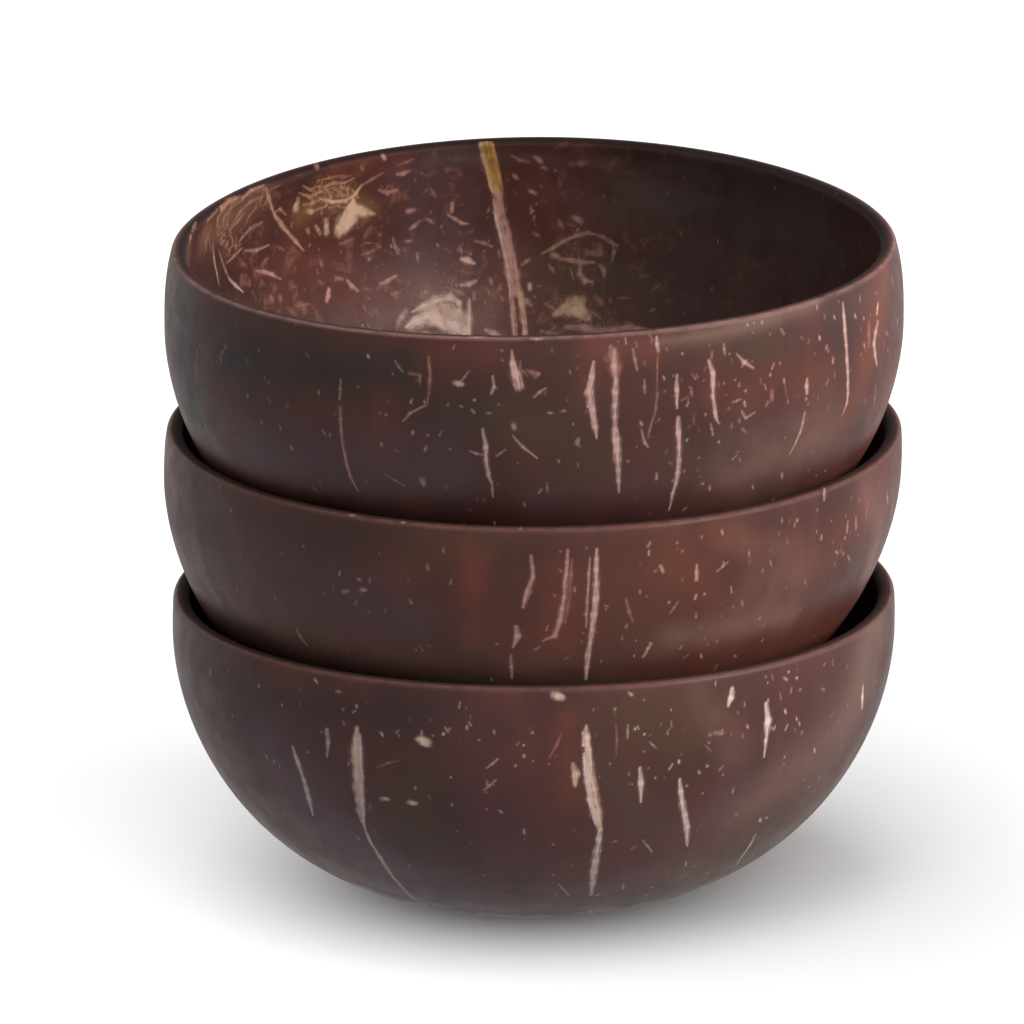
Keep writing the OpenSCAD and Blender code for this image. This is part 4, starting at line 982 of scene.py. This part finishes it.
def shellMaterial(bowl):
    finish = coconutShell
    material = bpy.data.materials.new("oiledCoconutShell_" + bowl["name"])
    material.use_nodes = True
    material.node_tree.nodes.clear()
    put = functools.partial(addNode, material.node_tree)
    # By number, Map Range takes 0 from 1 and 2 to 3 and 4, Mix lays colour 7 or value 3 over 6 or 2 by
    # the share in 0, and Math works on 0, 1 and 2
    calc, blend, ease, cloud = "ShaderNodeMath", "ShaderNodeMix", "ShaderNodeMapRange", "ShaderNodeTexNoise"
    vector, mapping, attribute = "ShaderNodeVectorMath", "ShaderNodeMapping", "ShaderNodeAttribute"
    soft, rgb, single = {"interpolation_type": "SMOOTHSTEP"}, {"data_type": "RGBA"}, {"data_type": "FLOAT"}
    plus, minus, times, both = ({"operation": name} for name in ("ADD", "SUBTRACT", "MULTIPLY", "MULTIPLY_ADD"))

    # In millimetres, and each bowl's patterns are cut from another place
    place, seed = put("ShaderNodeTexCoord").outputs["Object"], bowl["seed"]
    place = put(mapping, {}, {0: place, "Scale": (1 / mm,) * 3, "Location": (0, 0, 61 * seed)})
    names = ("grain", "rim", "edge", "foot", "inside", "stain", "curls")
    read = {name: put(attribute, {"attribute_name": name}).outputs for name in names}
    grain, rim, foot, inside = read["grain"]["Vector"], *(read[name]["Fac"] for name in ("rim", "foot", "inside"))
    squeeze = finish["fibreWidth"] / finish["fibreLength"]
    fibreWay = put(mapping, {}, {0: grain, "Scale": (1, 1, squeeze), "Location": (0, 0, 9 * seed)})
    longWay = put(mapping, {}, {0: grain, "Scale": (1, 1, 0.35), "Location": (0, 0, 5 * seed)})
    clouds, bands, mottle, dapple, rough, fine, fibres = (
        put(cloud, {}, {0: at, "Scale": 1 / finish[size], "Detail": detail, "Roughness": harsh, "Distortion": bent})
        for at, size, detail, harsh, bent in (
            (place, "cloudSize", 3, 0.5, 0.3), (longWay, "bandSize", 3, 0.5, 0.5), (place, "mottleSize", 4, 0.6, 0),
            (place, "dappleSize", 3, 0.6, 0.6), (place, "roughSize", 2, 0.5, 0.6), (place, "fineSize", 3, 0.6, 0.8),
            (fibreWay, "fibreWidth", 2, 0.6, 0)))

    # The brown of the shell itself: clouds, warm bands along the fibres, and mottling
    colour = linear(bowl["dark"])
    for field, low, high, most, tint in ((clouds, 0.36, 0.66, 1, "middle"),
                                         (bands, 0.46, 0.8, finish["bandCover"], "warm"),
                                         (mottle, 0.5, 0.85, finish["mottleCover"], "dark")):
        share = put(ease, soft, {0: field, 1: low, 2: high, 4: most})
        colour = put(blend, rgb, {0: share, 6: colour, 7: linear(bowl[tint])}).outputs[2]

    # Its stains, with the painted shade, sheen and reflection laid the same way, broken up by the mottling, then
    # dapples inside, where no deep stain lies
    share = put(ease, soft, {0: mottle, 1: 0.3, 2: 0.6, 3: 0.6})
    share = put(calc, times, {0: share, 1: read["stain"]["Alpha"]})
    colour = put(blend, rgb, {0: share, 6: colour, 7: read["stain"]["Color"]}).outputs[2]
    unstained = put(ease, soft, {0: read["stain"]["Alpha"], 1: 0.75, 2: 0.97, 3: 1, 4: 0.1})
    share = put(ease, soft, {0: dapple, 1: 0.53, 2: 0.7, 4: finish["dappleCover"]})
    for part in (put(ease, soft, {0: clouds, 1: 0.4, 2: 0.6}), inside, unstained):
        share = put(calc, times, {0: share, 1: part})
    colour = put(blend, rgb, {0: share, 6: colour, 7: linear(finish["dapple"])}).outputs[2]
    shade = put(ease, soft, {0: fibres, 1: 0.3, 2: 0.72, 3: 0.97, 4: 1.03})
    colour = put(vector, {"operation": "SCALE"}, {0: colour, "Scale": shade})

    # The sawn rim, painted nearly black as shade, the worn line under its edge, and the sanded foot
    worn = put(ease, soft, {0: rough, 1: 0.3, 2: 0.6, 3: 0.35, 4: 0.8})
    for share, tint in ((put(calc, times, {0: rim, 1: finish["rimShadeCover"]}), finish["rimLandShade"]),
                        (put(calc, times, {0: read["edge"]["Fac"], 1: worn}), bowl.get("edge", finish["edge"])),
                        (put(ease, soft, {0: foot, 1: 0.3, 2: 0.9, 4: finish["footCover"]}), finish["sandedFoot"])):
        colour = put(blend, rgb, {0: share, 6: colour, 7: linear(tint)}).outputs[2]

    # Fine flecks, the cut ends of single fibres
    stretched = put(mapping, {}, {0: grain, "Scale": (1, 1, 0.55)})
    cells = put("ShaderNodeTexVoronoi", {}, {0: stretched, "Scale": 1 / finish["fleckSize"]}).outputs
    luck = put("ShaderNodeSeparateColor", {}, {0: cells["Color"]}).outputs
    size = put(ease, soft, {0: luck[0], 1: 0.7, 2: 1, 4: 0.14})
    size = put(calc, minus, {0: size, 1: cells["Distance"]})
    chance = put(ease, soft, {0: luck[1], 1: 0.2, 2: 1, 3: 0.1, 4: 0.6})
    share = put(calc, times, {0: put(ease, soft, {0: size, 1: 0, 2: 0.05}), 1: chance})
    colour = put(blend, rgb, {0: share, 6: colour, 7: linear(finish["pale"])}).outputs[2]

    # Mats of curled fibre, coarse and fine: thin lines along the level curves of two warped clouds
    patchy = put(ease, soft, {0: mottle, 1: 0.35, 2: 0.62})
    curled = put(calc, times, {0: patchy, 1: read["curls"]["Fac"]})
    for finer in (1, 1.7 / 0.6):
        curl = {0: place, "Scale": finer / finish["curlSize"], "Detail": 1.5, "Roughness": 0.55, "Distortion": 2.2}
        level = put(calc, minus, {0: put(cloud, {}, curl), 1: 0.5})
        line = put(calc, {"operation": "ABSOLUTE"}, {0: level})
        line = put(ease, soft, {0: line, 1: 0.034, 2: 0.004, 4: finish["curlCover"]})
        share = put(calc, times, {0: line, 1: curled})
        colour = put(blend, rgb, {0: share, 6: colour, 7: linear(finish["tan"])}).outputs[2]

    # The bundles, each a run with a faint halo of its own tone, least near first
    sway = put(calc, minus, {0: rough, 1: 0.5})
    frayed = put(ease, soft, {0: rough, 1: 0.25, 2: 0.75, 3: 0.8, 4: 1.2})
    blotch = put(ease, soft, {0: rough, 1: 0.3, 2: 0.62, 3: 0.45})
    speckled = put(ease, soft, {0: fine, 1: 0.34, 2: 0.56, 3: 0.92})
    cover, tones = 0.0, len(markTones)
    for name in reversed(markSlots):
        mark = put(attribute, {"attribute_name": name}).outputs
        widths = put(attribute, {"attribute_name": name + "Width"}).outputs
        patch = widths["Alpha"]
        across, along, length = put("ShaderNodeSeparateXYZ", {}, {0: mark["Vector"]}).outputs
        first, last, start = put("ShaderNodeSeparateXYZ", {}, {0: widths["Vector"]}).outputs
        kind = put(calc, {"operation": "FLOOR"}, {0: mark["Alpha"]})
        strength = put(calc, {"operation": "FRACT"}, {0: mark["Alpha"]})

        # How far this point lies from the run, whose line sways a little
        half = put(ease, {}, {0: along, 1: 0, 2: length, 3: first, 4: last})
        on = put("ShaderNodeClamp", {}, {0: along, 1: 0, 2: length})
        across = put(calc, both, {0: sway, 1: 0.3, 2: across})
        away = put("ShaderNodeCombineXYZ", {}, {0: across, 1: put(calc, minus, {0: along, 1: on})})
        away = put(vector, {"operation": "LENGTH"}, {0: away}).outputs["Value"]

        # Strands run along a line, and a patch is speckled: both fray the edge and break the body up
        run = put(calc, times, {0: put(calc, plus, {0: along, 1: start}), 1: 0.09})
        streamer = put("ShaderNodeCombineXYZ", {}, {0: across, 1: run, 2: kind})
        strands = put(cloud, {}, {0: streamer, "Scale": 1 / finish["strandWidth"], "Detail": 2})
        blur = put(calc, both, {0: half, 1: 0.5, 2: 0.12})
        ragged = put(blend, single, {0: patch, 2: strands, 3: fine})
        ragged = put(calc, times, {0: put(calc, minus, {0: ragged, 1: 0.5}), 1: blur})
        edge = put(calc, minus, {0: put(calc, times, {0: half, 1: frayed}), 1: away})
        edge = put(calc, plus, {0: edge, 1: ragged})
        strands = put(ease, soft, {0: strands, 1: 0.34, 2: 0.58, 3: 0.55})
        body = put(blend, single, {0: patch, 2: strands, 3: blotch})
        for part in (speckled, strength):
            body = put(calc, times, {0: body, 1: part})
        solid = put(calc, {"operation": "DIVIDE"}, {0: edge, 1: blur})
        halo = put(ease, soft, {0: solid, 1: -2, 2: 0.8, 4: finish["haloCover"]})
        solid = put(ease, soft, {0: solid, 1: -1, 2: 1, 3: halo, 4: 1})
        solid = put(calc, times, {0: solid, 1: body})

        tint = put("ShaderNodeValToRGB", {}, {0: put(calc, both, {0: kind, 1: 1 / tones, 2: 0.01})})
        steps = tint.color_ramp.elements
        tint.color_ramp.interpolation = "CONSTANT"
        for index, tone in enumerate(markTones):
            stop = steps[index] if index < len(steps) else steps.new(index / tones)
            stop.position, stop.color = index / tones, linear(bowl.get(tone, finish[tone]))
        colour = put(blend, rgb, {0: solid, 6: colour, 7: tint}).outputs[2]
        cover = put(calc, {"operation": "MAXIMUM"}, {0: cover, 1: solid})

    # Painted shade: all of the inside is a little darker
    depth = put(ease, {}, {0: inside, 3: 1, 4: finish["insideShade"]})
    colour = put(vector, {"operation": "SCALE"}, {0: colour, "Scale": depth})

    # The bundles, the sanded foot and the sawn rim are drier than the oiled skin
    low, high = finish["roughness"] - 0.05, finish["roughness"] + 0.07
    sheen = put(ease, soft, {0: mottle, 1: 0.3, 2: 0.7, 3: low, 4: high})
    for part, drier in ((cover, 0.14), (foot, 0.2), (rim, 0.6)):
        sheen = put(calc, both, {0: part, 1: drier, 2: sheen})
    height = put(calc, times, {0: fibres, 1: 0.01})
    for part, rise in ((cover, -0.012), (fine, 0.012)):
        height = put(calc, both, {0: part, 1: rise, 2: height})
    bump = put("ShaderNodeBump", {}, {"Distance": 0.001, "Strength": 1, "Height": height})
    shell = put("ShaderNodeBsdfPrincipled", {}, {"Base Color": colour, "Roughness": sheen, "Normal": bump,
                                                 "IOR": finish["ior"], "Specular IOR Level": finish["specular"]})
    put("ShaderNodeOutputMaterial", {}, {0: shell})
    return material


def makeBowl(bowl, camera, outside, inside, outsideStains, insideStains):
    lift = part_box(bowl["node"])[0].z / mm
    section = shellSection(bowl)
    mesh = spinShell(bowl, section)
    growShell(bowl, mesh, section, lift)
    piece = bpy.data.objects.new(bowl["name"], mesh)
    bpy.context.scene.collection.objects.link(piece)
    surface = Surface(mesh, bowl)
    chance = random.Random(bowl["seed"])
    laid, stains = hiddenSkin(surface, camera, bowl, chance)
    for marks, clouds, within in ((outside, outsideStains, False), (inside, insideStains, True)):
        laid = photoMarks(surface, camera, marks, within) + laid
        for stain, strength, points in clouds:
            if stain == "flecks":
                laid += photoFlecks(surface, camera, strength, points, within, chance)
                continue
            spots = [(surface.below(camera, x, y, within), w * reading["pixel"] / 2)
                     for x, y, w in softLine(points, reading["stainStep"])]
            spots = [(s, w) for s, w in spots if s is not None]
            stains += [(stain, strength, spots)] if len(spots) > 1 else []
    layStainsAndPaintedLight(surface, stains)
    layMarks(surface, laid)
    mesh.materials.append(shellMaterial(bowl))
    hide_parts(bowl["node"])
    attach(piece, bowl["body"])
    print("made", bowl["name"], len(mesh.vertices), "points")
    return piece


# Two broad lights throw the floor's shadow as the photograph has it; four more light only the bowls
studio = {
    "floorSize": 8, "floorColour": "#f2f2f2", "floorBounce": "#767676", "floorGlow": 0.05, "mirroredGlow": 0.62,
    "fill": 0.06,
    "lamps": {
        "key": {"azimuth": 60, "elevation": 32, "strength": 3.3, "angle": 38, "colour": "#fff2e8", "lights": "bowls"},
        "side": {"azimuth": 98, "elevation": 9, "strength": 1.2, "angle": 46, "colour": "#fbf2f0", "lights": "bowls"},
        "front": {"azimuth": 16, "elevation": 17, "strength": 0.4, "angle": 40, "lights": "bowls"},
        "overhead": {"azimuth": -60, "elevation": 80, "strength": 0.8, "angle": 50, "lights": "bowls"},
        "leftTent": {"azimuth": -90, "elevation": 50, "strength": 2.83, "angle": 100, "lights": "floor"},
        "rightTent": {"azimuth": 30, "elevation": 35, "strength": 3.4, "angle": 100, "lights": "floor"},
    },
}


def buildStudio(bowls):
    # Camera, mirrored and clear rays meet plain white; the rest get the fill
    white = (1, 1, 1, 1)
    calc, most, times = "ShaderNodeMath", {"operation": "MAXIMUM"}, {"operation": "MULTIPLY"}
    world = bpy.data.worlds.new("studioAir")
    bpy.context.scene.world = world
    world.use_nodes = True
    world.node_tree.nodes.clear()
    put = functools.partial(addNode, world.node_tree)
    path = put("ShaderNodeLightPath").outputs
    direct = put(calc, most, {0: path["Is Camera Ray"], 1: path["Is Glossy Ray"]})
    direct = put(calc, most, {0: direct, 1: path["Is Transmission Ray"]})
    level = put("ShaderNodeMapRange", {}, {0: direct, 3: studio["fill"], 4: 1})
    put("ShaderNodeOutputWorld", {}, {0: put("ShaderNodeBackground", {}, {"Color": white, "Strength": level})})

    made = bmesh.new()
    bmesh.ops.create_grid(made, x_segments=8, y_segments=8, size=studio["floorSize"] / 2)
    bmesh.ops.translate(made, verts=made.verts, vec=(0, 0, -0.0001))
    mesh = bpy.data.meshes.new("studioFloor")
    made.to_mesh(mesh)
    made.free()
    floor = bpy.data.objects.new("studioFloor", mesh)
    bpy.context.scene.collection.objects.link(floor)

    # Matt white paper: it takes the stack's shadow, and mirrored rays meet it as plain white
    material = bpy.data.materials.new("mattPaper")
    material.use_nodes = True
    material.node_tree.nodes.clear()
    put = functools.partial(addNode, material.node_tree)
    path = put("ShaderNodeLightPath").outputs
    seen = path["Is Camera Ray"]
    bounce, shown = linear(studio["floorBounce"]), linear(studio["floorColour"])
    paper = put("ShaderNodeMix", {"data_type": "RGBA"}, {0: seen, 6: bounce, 7: shown}).outputs[2]
    matt = put("ShaderNodeBsdfDiffuse", {}, {"Color": paper})
    mirrored = put(calc, most, {0: path["Is Glossy Ray"], 1: path["Is Transmission Ray"]})
    lifted = put(calc, times, {0: seen, 1: studio["floorGlow"]})
    lifted = put(calc, {"operation": "MULTIPLY_ADD"}, {0: mirrored, 1: studio["mirroredGlow"], 2: lifted})
    glow = put("ShaderNodeEmission", {}, {"Color": white, "Strength": lifted})
    put("ShaderNodeOutputMaterial", {}, {0: put("ShaderNodeAddShader", {}, {0: matt, 1: glow})})
    mesh.materials.append(material)

    lit = {"bowls": bpy.data.collections.new("litBowls"), "floor": bpy.data.collections.new("litFloor")}
    for bowl in bowls:
        lit["bowls"].objects.link(bowl)
    lit["floor"].objects.link(floor)
    for name, lamp in studio["lamps"].items():
        data = bpy.data.lights.new(name + "Light", "SUN")
        data.energy = lamp["strength"]
        data.angle = math.radians(lamp["angle"])
        data.color = linear(lamp.get("colour", "#ffffff"))[:3]
        light = bpy.data.objects.new(name + "Light", data)
        a, e = math.radians(lamp["azimuth"]), math.radians(lamp["elevation"])
        way = Vector((math.sin(a) * math.cos(e), -math.cos(a) * math.cos(e), math.sin(e)))
        light.matrix_world = Matrix.Translation(way * 2) @ way.to_track_quat("Z", "Y").to_matrix().to_4x4()
        bpy.context.scene.collection.objects.link(light)
        light.light_linking.receiver_collection = lit[lamp["lights"]]


camera = placeCamera(photoView)
stack = [makeBowl(bottomBowl, camera, bottomOutside, [], bottomStains, []),
         makeBowl(middleBowl, camera, middleOutside, [], middleStains, []),
         makeBowl(topBowl, camera, topOutside, topInside, topStains, topInsideStains)]
buildStudio(stack)
bpy.context.scene.view_settings.view_transform = "Standard"
print("studio ready")
